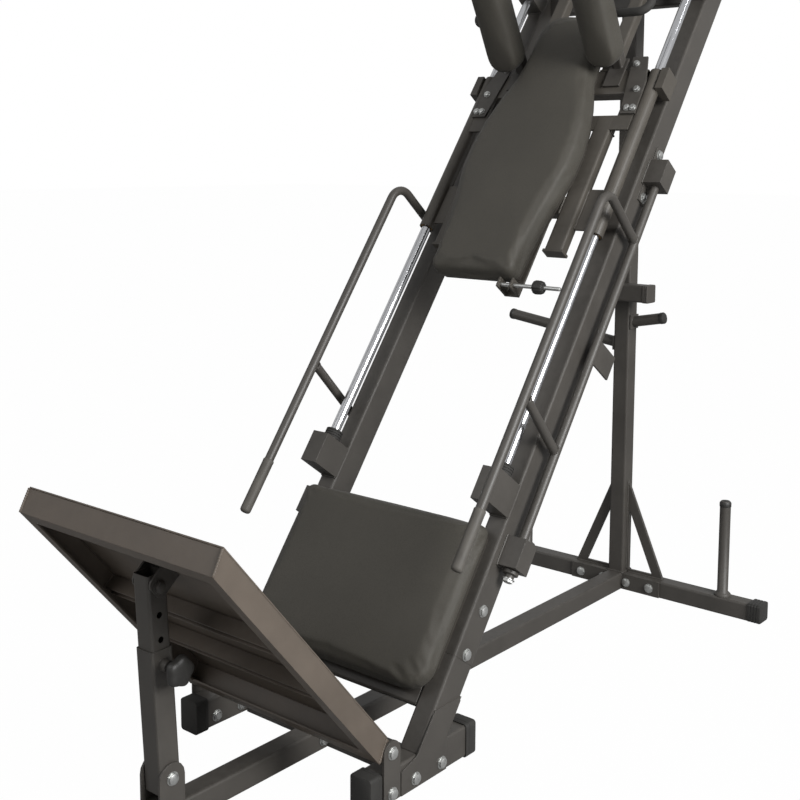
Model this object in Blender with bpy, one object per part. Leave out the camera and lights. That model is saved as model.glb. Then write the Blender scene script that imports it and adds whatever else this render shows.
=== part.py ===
"""Leg press hack squat machine: inclined rails with a sliding carriage, adjustable foot plate and safety handles.

World frame: +X is the machine's right as seen from its front, +Y runs to the rear and +Z up, in metres.
The origin lies under the front extension, level with the front of the two rubber foot caps.
Rail frame: x across, s up along the rails, t square to the rails towards the front.
"""
import math

import bmesh
import bpy
from mathutils import Matrix, Vector

# Clearances
GAP = 0.0003
WELD = 0.0012
HOLE_CLEARANCE = 0.0006

# Tube stock
TUBE = 0.050
WALL = 0.002
CORNER = 0.005

# Base frame
REAR_BEAM_FRONT = 1.455
REAR_BEAM_HALF = 0.425
REAR_CAP_LENGTH = 0.038
REAR_CAP_OVERSIZE = 0.004
REAR_CAP_CORNER = 0.008
CAP_PLUG = 0.025
JOINT_PLATE_HALF = 0.150
JOINT_PLATE = 0.005
JOINT_BOLT_XS = (0.040, 0.117)
FRONT_BEAM_FRONT = 0.155
EXTENSION_FRONT = -0.330
POST_TOP = 1.800
GUSSET_FOOT = 0.148
GUSSET_TOP = 0.338
GUSSET_PLATE = 0.008
GUSSET_BAR = 0.030
GUSSET_LEG = 0.007

# Feet and their rubber caps
FOOT_X = 0.2615
FOOT_DEPTH = 0.070
FOOT_LENGTH = 0.349
CAP_WALL = 0.003
CAP_REACH = 0.035
SIDE_PLATE = 0.003
SIDE_PLATE_RISE = 0.075
SIDE_PLATE_TOE = 0.055
SIDE_PLATE_LOW_Z = 0.006
FOOT_BOLT_YS = (0.139, 0.226)
FOOT_BOLT_Z = 0.027

# Inclined rails
RAIL_ANGLE = math.radians(53.8)
RAIL_X = 0.2615
RAIL_DEPTH = 0.0755
RAIL_FRONT = -0.0770
SEAM_S = 0.360
SEAM_BOLT_SS = (0.375, 0.475)
SPLICE_BELOW = 0.060
SPLICE_BEYOND = 0.025
RAIL_TOP_S = 2.300

# Guide rods, their supports and bumpers
ROD_RADIUS = 0.0125
ROD_T = -0.030
ROD_BLOCK = 0.080
ROD_SEAT = 0.010
ROD_BLOCK_LOW_S = 0.680
ROD_BLOCK_LOW_FRONT = 0.015
ROD_BLOCK_HIGH_S = 2.195
ROD_BLOCK_HIGH_LENGTH = 0.060
ROD_BLOCK_HIGH_FRONT = -0.0145
BUMPER_RADIUS = 0.022
BUMPER_LENGTH = 0.025

# Lower pad
LOWER_PAD_LOW_S = 0.258
LOWER_PAD_HIGH_S = 0.643
LOWER_PAD_HALF = 0.270
LOWER_PAD_THICK = 0.044
LOWER_PAD_CROWN = 0.006
LOWER_PAD_CORNER = 0.055
LOWER_PAD_TOP_CORNER = 0.018
BOARD = 0.012
BOARD_INSET = 0.010
PAD_RAIL_SS = (0.262, 0.600)
PAD_RAIL_WIDTH = 0.050
PAD_RAIL_DEPTH = 0.030

# Post fittings
STOP_TUBE_Z = 0.885
STOP_TUBE_HALF = 0.095
STOP_CAP = 0.016
STOP_CAP_RIBS = 3
STOP_CAP_OVERSIZE = 0.002
LEFT_PEG_Z = 0.751
LEFT_PEG_LENGTH = 0.385
LEFT_PEG_RISE = math.radians(8.0)
RIGHT_PEG_Z = 0.818
RIGHT_PEG_LENGTH = 0.100
RIGHT_PEG_RISE = math.radians(11.0)
PEG_RADIUS = 0.0160
PEG_FLANGE = 0.042
PEG_FLANGE_THICK = 0.005
PEG_PLUG = 0.012
PEG_PLUG_OVERSIZE = 0.001
STORAGE_PEG_X = 0.337
STORAGE_PEG_RADIUS = 0.0150
STORAGE_PEG_FLARE = 0.008
STORAGE_PEG_TOP = 0.328

# Carriage
HOUSING_RADIUS = 0.020
HOUSING_LOW_S = 1.400
HOUSING_HIGH_S = 1.905
BUSH_RADIUS = 0.0165
BUSH_LENGTH = 0.045
BUSH_CLEARANCE = 0.0003
BUSH_RELIEF = 0.0020
BEARING_INSET = 0.002
BAND_THICK = 0.006
BAND_SHORT = 0.012
CARRIAGE_FRONT = -0.011
CARRIAGE_DEPTH = 0.030
CROSS_LOW_S = 1.826
WINDOW_LOW_S = 1.755
BAND_LOW_S = 1.710
WINDOW_INNER_X = 0.092
WINDOW_OUTER_X = 0.205
SPINE_INNER_X = 0.148
SPINE_WIDTH = 0.050
SPINE_LOW_S = 1.345
LOWER_CROSS_LOW_S = 1.415
LOWER_CROSS_HIGH_S = 1.535
SPINE_END_PLATE = 0.006
SPINE_END_LIP = 0.004
UPRIGHT_INNER_X = 0.100
UPRIGHT_WIDTH = 0.040
HORN_S = 2.245
HORN_TUBE = 0.050
HORN_TUBE_WALL = 0.003
HORN_TUBE_HALF = 0.290
HORN_RADIUS = 0.0245
HORN_REACH = 0.500
HORN_END = 0.006
CLAMP_PLATE = 0.005
CLAMP_BOLT_RADIUS = 0.0045
CLAMP_BOLT_SIDES = 8
CLAMP_OUTLINE = ((0.212, 1.757), (0.255, 1.757), (0.252, 1.862), (0.230, 1.942), (0.187, 1.942))
CLAMP_THROUGH_BOLTS = ((0.235, 1.834), (0.228, 1.774))
CLAMP_SHORT_BOLTS = ((0.206, 1.918), (0.245, 1.774))
STOP_LUG_REACH = 0.0215
STOP_LUG_SS = (1.840, 1.905)
STOP_LUG_DEPTH = 0.055
STOP_LUG_BEHIND = 0.008

# Back pad, as half widths at stations along the rails
BACK_PAD_STATIONS = ((1.232, 0.127), (1.360, 0.136), (1.460, 0.151), (1.560, 0.168),
                     (1.670, 0.163), (1.770, 0.140), (1.850, 0.114), (1.940, 0.1045), (2.062, 0.103))
BACK_PAD_THICK = 0.052
BACK_PAD_CROWN = 0.009
BACK_PAD_FOOT_CORNER = 0.022
BACK_PAD_HEAD_CORNER = 0.070

# Shoulder pads
SHOULDER_LEAN = math.radians(26.0)
SHOULDER_ROOT_S = 1.8505
SHOULDER_ROOT_T = 0.052
SHOULDER_X = 0.153
SHOULDER_HALF = 0.045
SHOULDER_LENGTH = 0.300
SHOULDER_THICK = 0.068
SHOULDER_CROWN = 0.008
SHOULDER_CORNER = 0.040
SHOULDER_ARM = 0.030
SHOULDER_ARM_END = 0.255
SHOULDER_PLATE = 0.006
SHOULDER_PLATE_START = 0.048
SHOULDER_FOOT = 0.006
SHOULDER_FOOT_HALF = 0.024
SHOULDER_FOOT_SS = (1.848, 1.938)
GRIP_BAR_RADIUS = 0.011
GRIP_BAR_L = 0.118
GRIP_BAR_REACH = 0.268
GRIP_BAR_HEIGHT = 0.130
GRIP_BAR_BEND = 0.028

# Pull pin under the back pad
PAD_PIN_S = 1.217
PAD_PIN_T = 0.0215
PAD_PIN_RADIUS = 0.005
PAD_PIN_END = 0.262
PAD_KNOB_X = 0.188
PAD_KNOB_RADIUS = 0.017
PAD_KNOB_LENGTH = 0.028
PAD_PIN_EARS = (0.090, 0.128)
PAD_PIN_EAR = 0.005
PAD_PIN_STRAP = 0.005
PAD_PIN_SHOULDER = 0.012

# Safety handles
PIVOT_X = 0.313
PIVOT_T = -0.125
PIVOT_RADIUS = 0.011
PIVOT_LOW_S = 0.560
PIVOT_HIGH_S = 1.661
PIVOT_BLOCK_LOW_S = 0.580
PIVOT_BLOCK_HIGH_S = 1.611
PIVOT_BLOCK_LENGTH = 0.070
PIVOT_BLOCK_OUTER_X = 0.338
PIVOT_BLOCK_HALF_T = 0.026
PIVOT_CLEARANCE = 0.0004
PIVOT_FLANGE = 0.004
PIVOT_FLANGE_HALF = 0.081
PIVOT_FLANGE_DEPTH = 0.036
PIVOT_BOLT_OFFSET = 0.066
HANDLE_X = 0.320
HANDLE_T = 0.080
HANDLE_RADIUS = 0.0115
HANDLE_LOW_S = 0.505
HANDLE_HIGH_S = 1.470
HANDLE_BEND = 0.045
HANDLE_TOP_LEG_S = 1.449
MID_LEG_BAR_S = 0.910
MID_LEG_TUBE_S = 0.870
HANDLE_GRIP_RADIUS = 0.0135
HANDLE_GRIP_LENGTH = 0.135
HANDLE_GRIP_END = 0.006
LUG_S = 1.142
LUG_LENGTH = 0.062
LUG_REACH = 0.085
LUG_THICK = 0.006
COLLAR_RADIUS = 0.018
COLLAR_LENGTH = 0.010

# Foot plate
HINGE_Y = 0.062
HINGE_Z = 0.113
PLATE_ANGLE = math.radians(49.6)
PLATE_HALF = 0.2865
PLATE_LOW_P = 0.0317
PLATE_HIGH_P = 0.688
PLATE_TOP_M = -0.0163
PLATE_DEPTH = 0.050
PLATE_SHEAR = -0.38
PLATE_SHEET = 0.003
PLATE_FOLD = 0.004
PLATE_FLANGE = 0.028
PLATE_RIB_PS = (0.215, 0.375)
PLATE_RIB_WIDTH = 0.025
PLATE_RIB_DEPTH = 0.032
PLATE_RIB_WALL = 0.003
EAR_RADIUS = 0.020
EAR_THICK = 0.006
HINGE_PIN_RADIUS = 0.006
HINGE_BRACKET = 0.006
HINGE_BRACKET_HALF = 0.0255
HINGE_BRACKET_LOW_Z = 0.010

# Strut under the foot plate
STRUT_FOOT_Y = -0.284
STRUT_FOOT_Z = 0.110
STRUT_TOP_P = 0.530
STRUT_TOP_M = 0.030
SLEEVE_BELOW = 0.030
SLEEVE_TOP = 0.262
INNER_TUBE = 0.045
SLIDE_CLEARANCE = 0.0006
INNER_LOW = 0.110
INNER_BEYOND = 0.024
PIN_HEIGHT = 0.232
PIN_PITCH = 0.049
PIN_HOLES = (-1, 0, 1, 2)
STRUT_BRACKET = 0.005
STRUT_BRACKET_HALF = 0.031
STRUT_BRACKET_LOW_Z = 0.006
TOP_EAR = 0.005
TOP_EAR_HALF = 0.024
TOP_EAR_BELOW = 0.016
TOP_PIVOT_CLEARANCE = 0.0042
PIN_RADIUS = 0.006
PIN_BOSS_RADIUS = 0.012
PIN_BOSS_LENGTH = 0.018
PIN_TRAVEL = 0.012
PIN_KNOB_RADIUS = 0.031
PIN_KNOB_LENGTH = 0.030
PIN_KNOB_NECK = 0.012
PIN_LOBES = 5
PIN_LOBE_DEPTH = 0.004

# Top cross member
TOP_CROSS_Z = 1.722

# Fasteners
BOLT_RADIUS = 0.005
HEAD_RADIUS = 0.0098
HEAD_HEIGHT = 0.0060
NUT_HEIGHT = 0.0080

ROUND_SIDES = 24
SMALL_SIDES = 16
HOLE_SIDES = 10

BEAM_Z = TUBE / 2
REAR_Y = REAR_BEAM_FRONT + TUBE / 2
RAIL_BACK = RAIL_FRONT - RAIL_DEPTH
RAIL_T = (RAIL_FRONT + RAIL_BACK) / 2
RAIL_INNER_X = RAIL_X - TUBE / 2
RAIL_OUTER_X = RAIL_X + TUBE / 2
FOOT_LOW_Z = CAP_WALL + GAP
FOOT_TOP_Z = FOOT_LOW_Z + FOOT_DEPTH
SINE = math.sin(RAIL_ANGLE)
COSINE = math.cos(RAIL_ANGLE)
CARRIAGE_BACK = CARRIAGE_FRONT - CARRIAGE_DEPTH
CARRIAGE_T = (CARRIAGE_FRONT + CARRIAGE_BACK) / 2
ROD_X = RAIL_X
X_AXIS = Vector((1, 0, 0))
Y_AXIS = Vector((0, 1, 0))
Z_AXIS = Vector((0, 0, 1))
SIDES = ((-1, "left"), (1, "right"))

MATERIALS = {
    "black_paint": ((0.030, 0.028, 0.026), 0.45, 0.2),
    "grey_paint": ((0.055, 0.050, 0.045), 0.45, 0.2),
    "chrome": ((0.80, 0.80, 0.80), 0.12, 1.0),
    "zinc": ((0.60, 0.60, 0.60), 0.35, 1.0),
    "vinyl": ((0.050, 0.048, 0.042), 0.55, 0.0),
    "rubber": ((0.020, 0.020, 0.020), 0.80, 0.0),
    "plastic": ((0.015, 0.015, 0.015), 0.50, 0.0),
    "plywood": ((0.30, 0.20, 0.12), 0.80, 0.0),
    "bronze": ((0.50, 0.36, 0.18), 0.40, 1.0),
}


def clear_scene():
    for old in list(bpy.data.objects):
        bpy.data.objects.remove(old, do_unlink=True)


def material_for(name, kind):
    colour, roughness, metallic = MATERIALS[kind]
    material = bpy.data.materials.new(name)
    material.use_nodes = True
    shader = material.node_tree.nodes["Principled BSDF"]
    shader.inputs["Base Color"].default_value = (*colour, 1.0)
    shader.inputs["Roughness"].default_value = roughness
    shader.inputs["Metallic"].default_value = metallic
    return material


def add_empty(name, parent=None, location=(0, 0, 0), tilt=0.0):
    empty = bpy.data.objects.new(name, None)
    bpy.context.collection.objects.link(empty)
    empty.parent = parent
    empty.location = location
    empty.rotation_euler = (tilt, 0, 0)
    return empty


def add_piece(name, bm, kind, parent=None, location=(0, 0, 0)):
    bmesh.ops.recalc_face_normals(bm, faces=bm.faces)
    mesh = bpy.data.meshes.new(name)
    bm.to_mesh(mesh)
    bm.free()
    mesh.shade_smooth()
    mesh.set_sharp_from_angle(angle=math.radians(32))
    piece = bpy.data.objects.new(name, mesh)
    bpy.context.collection.objects.link(piece)
    piece.data.materials.append(material_for(name, kind))
    piece.parent = parent
    piece.location = location
    return piece


def add_helper(piece, bm, parent):
    """A hidden shape that a Boolean of the piece reads."""
    bmesh.ops.recalc_face_normals(bm, faces=bm.faces)
    mesh = bpy.data.meshes.new(piece.name + "_helper")
    bm.to_mesh(mesh)
    bm.free()
    helper = bpy.data.objects.new(piece.name + "_helper", mesh)
    bpy.context.collection.objects.link(helper)
    helper.parent = parent
    helper.hide_render = True
    helper.display_type = "WIRE"
    return helper


def add_boolean(piece, helper, operation):
    boolean = piece.modifiers.new(operation.lower(), "BOOLEAN")
    boolean.operation = operation
    boolean.solver = "EXACT"
    boolean.object = helper


def join(piece, bm, parent="piece"):
    """Weld shapes onto a piece; the shapes of one call stay clear of each other."""
    add_boolean(piece, add_helper(piece, bm, piece.parent if parent == "piece" else parent), "UNION")


def cut_away(piece, bm):
    add_boolean(piece, add_helper(piece, bm, piece.parent), "DIFFERENCE")


def drill(piece, holes):
    """Cut round holes, each given as its two end points and radius in the frame of the piece's parent."""
    bm = bmesh.new()
    for start, end, radius in holes:
        sides = ROUND_SIDES if radius >= PIVOT_RADIUS else HOLE_SIDES
        bar(bm, start, end, round_outline(radius, sides))
    cut_away(piece, bm)


# Outlines: lists of points in a plane


def round_outline(radius, sides=ROUND_SIDES):
    return [Vector((radius * math.cos(math.tau * i / sides), radius * math.sin(math.tau * i / sides)))
            for i in range(sides)]


def hex_outline(radius):
    return round_outline(radius, 6)


def box_outline(width, height, corner=CORNER, steps=2):
    points = []
    for quarter in range(4):
        sign_u = 1 if quarter in (0, 3) else -1
        sign_v = 1 if quarter in (0, 1) else -1
        centre = Vector((sign_u * (width / 2 - corner), sign_v * (height / 2 - corner)))
        for step in range(steps + 1):
            angle = math.pi / 2 * (quarter + step / steps)
            points.append(centre + corner * Vector((math.cos(angle), math.sin(angle))))
    return points


def rounded_polygon(corners, radii, steps=4):
    """A closed outline through corners, each rounded by its own radius."""
    points = []
    count = len(corners)
    for i, corner in enumerate(corners):
        here = Vector(corner)
        to_last = (Vector(corners[i - 1]) - here).normalized()
        to_next = (Vector(corners[(i + 1) % count]) - here).normalized()
        radius = radii[i]
        if radius <= 0:
            points.append(here)
            continue
        half = to_last.angle(to_next) / 2
        reach = radius / math.tan(half)
        centre = here + (to_last + to_next).normalized() * (radius / math.sin(half))
        first = here + to_last * reach - centre
        last = here + to_next * reach - centre
        sweep = first.angle_signed(last)
        for step in range(steps + 1):
            turn = Matrix.Rotation(-sweep * step / steps, 2)
            points.append(centre + turn @ first)
    return points


def lobed_outline(radius, lobes, depth, sides):
    return [Vector((math.cos(a), math.sin(a))) * (radius - depth * (1 - math.cos(lobes * a)) / 2)
            for a in (math.tau * i / sides for i in range(sides))]


# Solids, added to a bmesh


def loft(bm, rings, bores=None):
    """Join rings of equal counts into one closed solid, open right through where bores are given."""
    outer = [[bm.verts.new(point) for point in ring] for ring in rings]
    count = len(outer[0])

    def skin(low, high):
        for i in range(count):
            j = (i + 1) % count
            bm.faces.new((low[i], low[j], high[j], high[i]))

    for low, high in zip(outer, outer[1:]):
        skin(low, high)
    if bores is None:
        bm.faces.new(outer[0])
        bm.faces.new(outer[-1])
        return
    inner = [[bm.verts.new(point) for point in ring] for ring in bores]
    for low, high in zip(inner, inner[1:]):
        skin(low, high)
    skin(outer[0], inner[0])
    skin(outer[-1], inner[-1])


def axes_for(direction, across):
    direction = direction.normalized()
    first = (across - direction * across.dot(direction)).normalized()
    return first, direction.cross(first)


def placed(outline, origin, first, second):
    return [origin + first * point.x + second * point.y for point in outline]


def across_for(direction):
    return X_AXIS if abs(direction.normalized().x) < 0.9 else Y_AXIS


def bar(bm, start, end, outline, across=None, bore=None, start_plane=None, end_plane=None):
    """A straight bar or tube, its ends cut square or along planes given as a point and a normal."""
    start, end = Vector(start), Vector(end)
    direction = (end - start).normalized()
    first, second = axes_for(direction, across or across_for(direction))

    def ring(points, origin, plane):
        ring_points = placed(points, origin, first, second)
        if plane is None:
            return ring_points
        point, normal = Vector(plane[0]), Vector(plane[1])
        return [p + direction * ((point - p).dot(normal) / direction.dot(normal)) for p in ring_points]

    rings = [ring(outline, start, start_plane), ring(outline, end, end_plane)]
    bores = None
    if bore is not None:
        bores = [ring(bore, start, start_plane), ring(bore, end, end_plane)]
    loft(bm, rings, bores)


def box_tube(bm, start, end, width, height, across, wall=WALL, **planes):
    bar(bm, start, end, box_outline(width, height), across,
        box_outline(width - 2 * wall, height - 2 * wall, CORNER - wall), **planes)


def turned(bm, start, direction, steps, across=None):
    """A solid of stacked outlines, each given as its distance along direction and its outline."""
    start, direction = Vector(start), Vector(direction).normalized()
    first, second = axes_for(direction, across or across_for(direction))
    loft(bm, [placed(outline, start + direction * distance, first, second) for distance, outline in steps])


def block(bm, low, high):
    low, high = Vector(low), Vector(high)
    bottom = [(low.x, low.y), (high.x, low.y), (high.x, high.y), (low.x, high.y)]
    loft(bm, [[Vector((x, y, z)) for x, y in bottom] for z in (low.z, high.z)])


def plate(bm, outline, lift, low, high):
    """A flat plate: lift turns an outline point and a level into a point in space."""
    loft(bm, [[lift(point, level) for point in outline] for level in (low, high)])


def framed_plate(bm, outline, window, lift, low, high):
    """A flat plate with a window whose outline has as many points as its own."""
    loft(bm, [[lift(point, level) for point in outline] for level in (low, high)],
         [[lift(point, level) for point in window] for level in (low, high)])


def cup(bm, mouth, end, outline, pocket, floor, across):
    """A cap: a closed end and a pocket that takes a tube's end."""
    mouth, end = Vector(mouth), Vector(end)
    direction = (end - mouth).normalized()
    first, second = axes_for(direction, across)
    bottom = end - direction * floor
    loft(bm, [placed(pocket, bottom, first, second), placed(pocket, mouth, first, second),
              placed(outline, mouth, first, second), placed(outline, end, first, second)])


def bent_path(corners, radii, steps=5):
    """Points along straight runs joined by arcs."""
    points = [Vector(corners[0])]
    for i in range(1, len(corners) - 1):
        here = Vector(corners[i])
        to_last = (Vector(corners[i - 1]) - here).normalized()
        to_next = (Vector(corners[i + 1]) - here).normalized()
        half = to_last.angle(to_next) / 2
        reach = radii[i - 1] / math.tan(half)
        centre = here + (to_last + to_next).normalized() * (radii[i - 1] / math.sin(half))
        first = here + to_last * reach - centre
        last = here + to_next * reach - centre
        turn_axis = first.cross(last).normalized()
        sweep = first.angle(last)
        for step in range(steps + 1):
            points.append(centre + Matrix.Rotation(sweep * step / steps, 3, turn_axis) @ first)
    points.append(Vector(corners[-1]))
    return points


def sweep(bm, path, outline, across, bore=None):
    """A bar that follows a flat path; across is square to the path's plane."""
    rings, bores = [], []
    for i, point in enumerate(path):
        before = path[max(i - 1, 0)]
        after = path[min(i + 1, len(path) - 1)]
        direction = (after - before).normalized()
        first, second = axes_for(direction, across)
        rings.append(placed(outline, point, first, second))
        if bore is not None:
            bores.append(placed(bore, point, first, second))
    loft(bm, rings, bores or None)


def bolt(bm, seat, direction, grip):
    """A hexagon bolt whose head sits at seat and points along direction, with its nut after grip."""
    turned(bm, seat, direction, (
        (GAP + HEAD_HEIGHT, hex_outline(HEAD_RADIUS)),
        (GAP, hex_outline(HEAD_RADIUS)),
        (GAP, hex_outline(BOLT_RADIUS)),
        (-grip - GAP, hex_outline(BOLT_RADIUS)),
        (-grip - GAP, hex_outline(HEAD_RADIUS)),
        (-grip - GAP - NUT_HEIGHT, hex_outline(HEAD_RADIUS)),
    ))


def stud(bm, seat, direction, grip, radius=BOLT_RADIUS, fixed=False):
    """A bolt that belongs to the plate under its head; a fixed one is held at its nut too."""
    nut = -grip + WELD if fixed else -grip - GAP
    turned(bm, seat, direction, (
        (HEAD_HEIGHT, hex_outline(HEAD_RADIUS)),
        (-WELD, hex_outline(HEAD_RADIUS)),
        (-WELD, hex_outline(radius)),
        (nut, hex_outline(radius)),
        (nut, hex_outline(HEAD_RADIUS)),
        (-grip - NUT_HEIGHT, hex_outline(HEAD_RADIUS)),
    ))


def end_plate(centre, direction, width, height, across):
    """A plate that closes a tube's end."""
    bm = bmesh.new()
    outline = box_outline(width - WALL, height - WALL, CORNER - WALL / 2)
    turned(bm, centre, direction, ((-WALL, outline), (WALL, outline)), across=across)
    return bm


def bolt_hole(seat, direction, grip):
    seat, direction = Vector(seat), Vector(direction).normalized()
    margin = 0.001
    return (seat + direction * margin, seat - direction * (grip + margin), BOLT_RADIUS + HOLE_CLEARANCE)


def cushion(bm, outline, place, thickness, crown):
    """An upholstered pad on a closed outline: drawn-in sides, a round edge and a crowned face."""
    centre = sum(outline, Vector((0, 0))) / len(outline)
    reach = max((point - centre).length for point in outline)
    edge = min(0.016, thickness * 0.35)
    levels = [(0.0, 0.004), (thickness * 0.18, 0.0015), (thickness * 0.45, 0.0), (thickness - edge, 0.0008)]
    for step in range(1, 4):
        angle = math.pi / 2 * step / 3
        levels.append((thickness - edge + edge * math.sin(angle), 0.0008 + edge * (1 - math.cos(angle))))
    rings = []
    for height, inset in levels:
        scale = 1 - inset / reach
        rings.append([place(centre + (point - centre) * scale, height) for point in outline])
    last_scale = 1 - levels[-1][1] / reach
    for share in (0.86, 0.66, 0.42, 0.18):
        height = thickness + crown * (1 - share ** 2)
        rings.append([place(centre + (point - centre) * last_scale * share, height) for point in outline])
    loft(bm, rings)


def spaced(outline, longest):
    """Add points to an outline's long straight runs."""
    points = []
    for i, here in enumerate(outline):
        after = outline[(i + 1) % len(outline)]
        parts = max(1, math.ceil((after - here).length / longest))
        points += [here.lerp(after, k / parts) for k in range(parts)]
    return points


# Base frame


def build_rear_beam():
    bm = bmesh.new()
    box_tube(bm, (-REAR_BEAM_HALF, REAR_Y, BEAM_Z), (REAR_BEAM_HALF, REAR_Y, BEAM_Z), TUBE, TUBE, Y_AXIS)
    beam = add_piece("rear_cross_beam", bm, "black_paint")
    bm = bmesh.new()
    radius = STORAGE_PEG_RADIUS
    wide = round_outline(radius + STORAGE_PEG_FLARE, SMALL_SIDES)
    tube = round_outline(radius, SMALL_SIDES)
    neck = round_outline(radius - 0.0020, SMALL_SIDES)
    length = STORAGE_PEG_TOP - TUBE
    for side, _ in SIDES:
        turned(bm, (side * STORAGE_PEG_X, REAR_Y, TUBE), Z_AXIS, (
            (-WELD, wide), (0.004, wide), (0.012, tube), (length - 0.004, tube), (length, neck)))
    join(beam, bm)
    drill(beam, [bolt_hole(seat, -Y_AXIS, TUBE) for seat in joint_bolt_seats()])

    plug = box_outline(TUBE - 2 * WALL - 2 * GAP, TUBE - 2 * WALL - 2 * GAP, CORNER - WALL)
    wide = box_outline(TUBE + 2 * REAR_CAP_OVERSIZE, TUBE + REAR_CAP_OVERSIZE, REAR_CAP_CORNER)
    for side, word in SIDES:
        raised = [point + Vector((0, side * REAR_CAP_OVERSIZE / 2)) for point in wide]
        bm = bmesh.new()
        turned(bm, (side * (REAR_BEAM_HALF + GAP), REAR_Y, BEAM_Z), side * X_AXIS, (
            (-CAP_PLUG, plug), (0, plug), (0, raised), (REAR_CAP_LENGTH, raised)), across=Y_AXIS)
        add_piece(f"rear_cap_{word}", bm, "plastic")


def joint_bolt_seats():
    face = REAR_BEAM_FRONT
    return [(side * x, face, BEAM_Z) for side, _ in SIDES for x in JOINT_BOLT_XS]


def build_floor_beams():
    """The centre beam ends in a plate that is bolted to the rear beam."""
    plate_back = REAR_BEAM_FRONT - GAP
    plate_front = plate_back - JOINT_PLATE
    front_beam_back = FRONT_BEAM_FRONT + TUBE
    bm = bmesh.new()
    box_tube(bm, (0, front_beam_back + GAP, BEAM_Z), (0, plate_front + WELD, BEAM_Z), TUBE, TUBE, X_AXIS)
    beam = add_piece("centre_beam", bm, "black_paint")
    bm = bmesh.new()
    block(bm, (-JOINT_PLATE_HALF, plate_front, WALL), (JOINT_PLATE_HALF, plate_back, TUBE - GAP))
    join(beam, bm)
    bm = bmesh.new()
    for x, _, z in joint_bolt_seats():
        stud(bm, (x, plate_front, z), -Y_AXIS, JOINT_PLATE + GAP + TUBE)
    join(beam, bm)

    front_y = FRONT_BEAM_FRONT + TUBE / 2
    half = FOOT_X - TUBE / 2 - GAP
    bm = bmesh.new()
    box_tube(bm, (-half, front_y, BEAM_Z), (half, front_y, BEAM_Z), TUBE, TUBE, Y_AXIS)
    add_piece("front_cross_beam", bm, "black_paint")

    bm = bmesh.new()
    box_tube(bm, (0, EXTENSION_FRONT, BEAM_Z), (0, FRONT_BEAM_FRONT - GAP, BEAM_Z), TUBE, TUBE, X_AXIS)
    extension = add_piece("front_extension", bm, "black_paint")
    join(extension, end_plate((0, EXTENSION_FRONT, BEAM_Z), -Y_AXIS, TUBE, TUBE, X_AXIS))
    return extension


def build_post():
    """The post with its welded gussets, which are triangles with a window."""
    bm = bmesh.new()
    box_tube(bm, (0, REAR_Y, TUBE + GAP), (0, REAR_Y, POST_TOP), TUBE, TUBE, X_AXIS)
    post = add_piece("rear_post", bm, "black_paint")
    join(post, end_plate((0, REAR_Y, POST_TOP), Z_AXIS, TUBE, TUBE, X_AXIS))

    bm = bmesh.new()
    low_z = TUBE + 2 * GAP
    inner_x = TUBE / 2 - WELD
    slope = (GUSSET_TOP - low_z) / (GUSSET_FOOT - inner_x)
    drop = GUSSET_BAR * math.sqrt(1 + slope ** 2)
    base_z = low_z + GUSSET_PLATE
    leg_x = inner_x + GUSSET_LEG
    top_z = GUSSET_TOP - drop - slope * (leg_x - inner_x)
    toe_x = leg_x + (top_z - base_z) / slope
    outline = [(inner_x, low_z), (GUSSET_FOOT, low_z), (inner_x, GUSSET_TOP)]
    window = [(leg_x, base_z), (toe_x, base_z), (leg_x, top_z)]
    for side, _ in SIDES:

        def lift(point, level, side=side):
            return Vector((side * point[0], level, point[1]))

        framed_plate(bm, outline, window, lift, REAR_Y - GUSSET_PLATE / 2, REAR_Y + GUSSET_PLATE / 2)
    join(post, bm)


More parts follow.
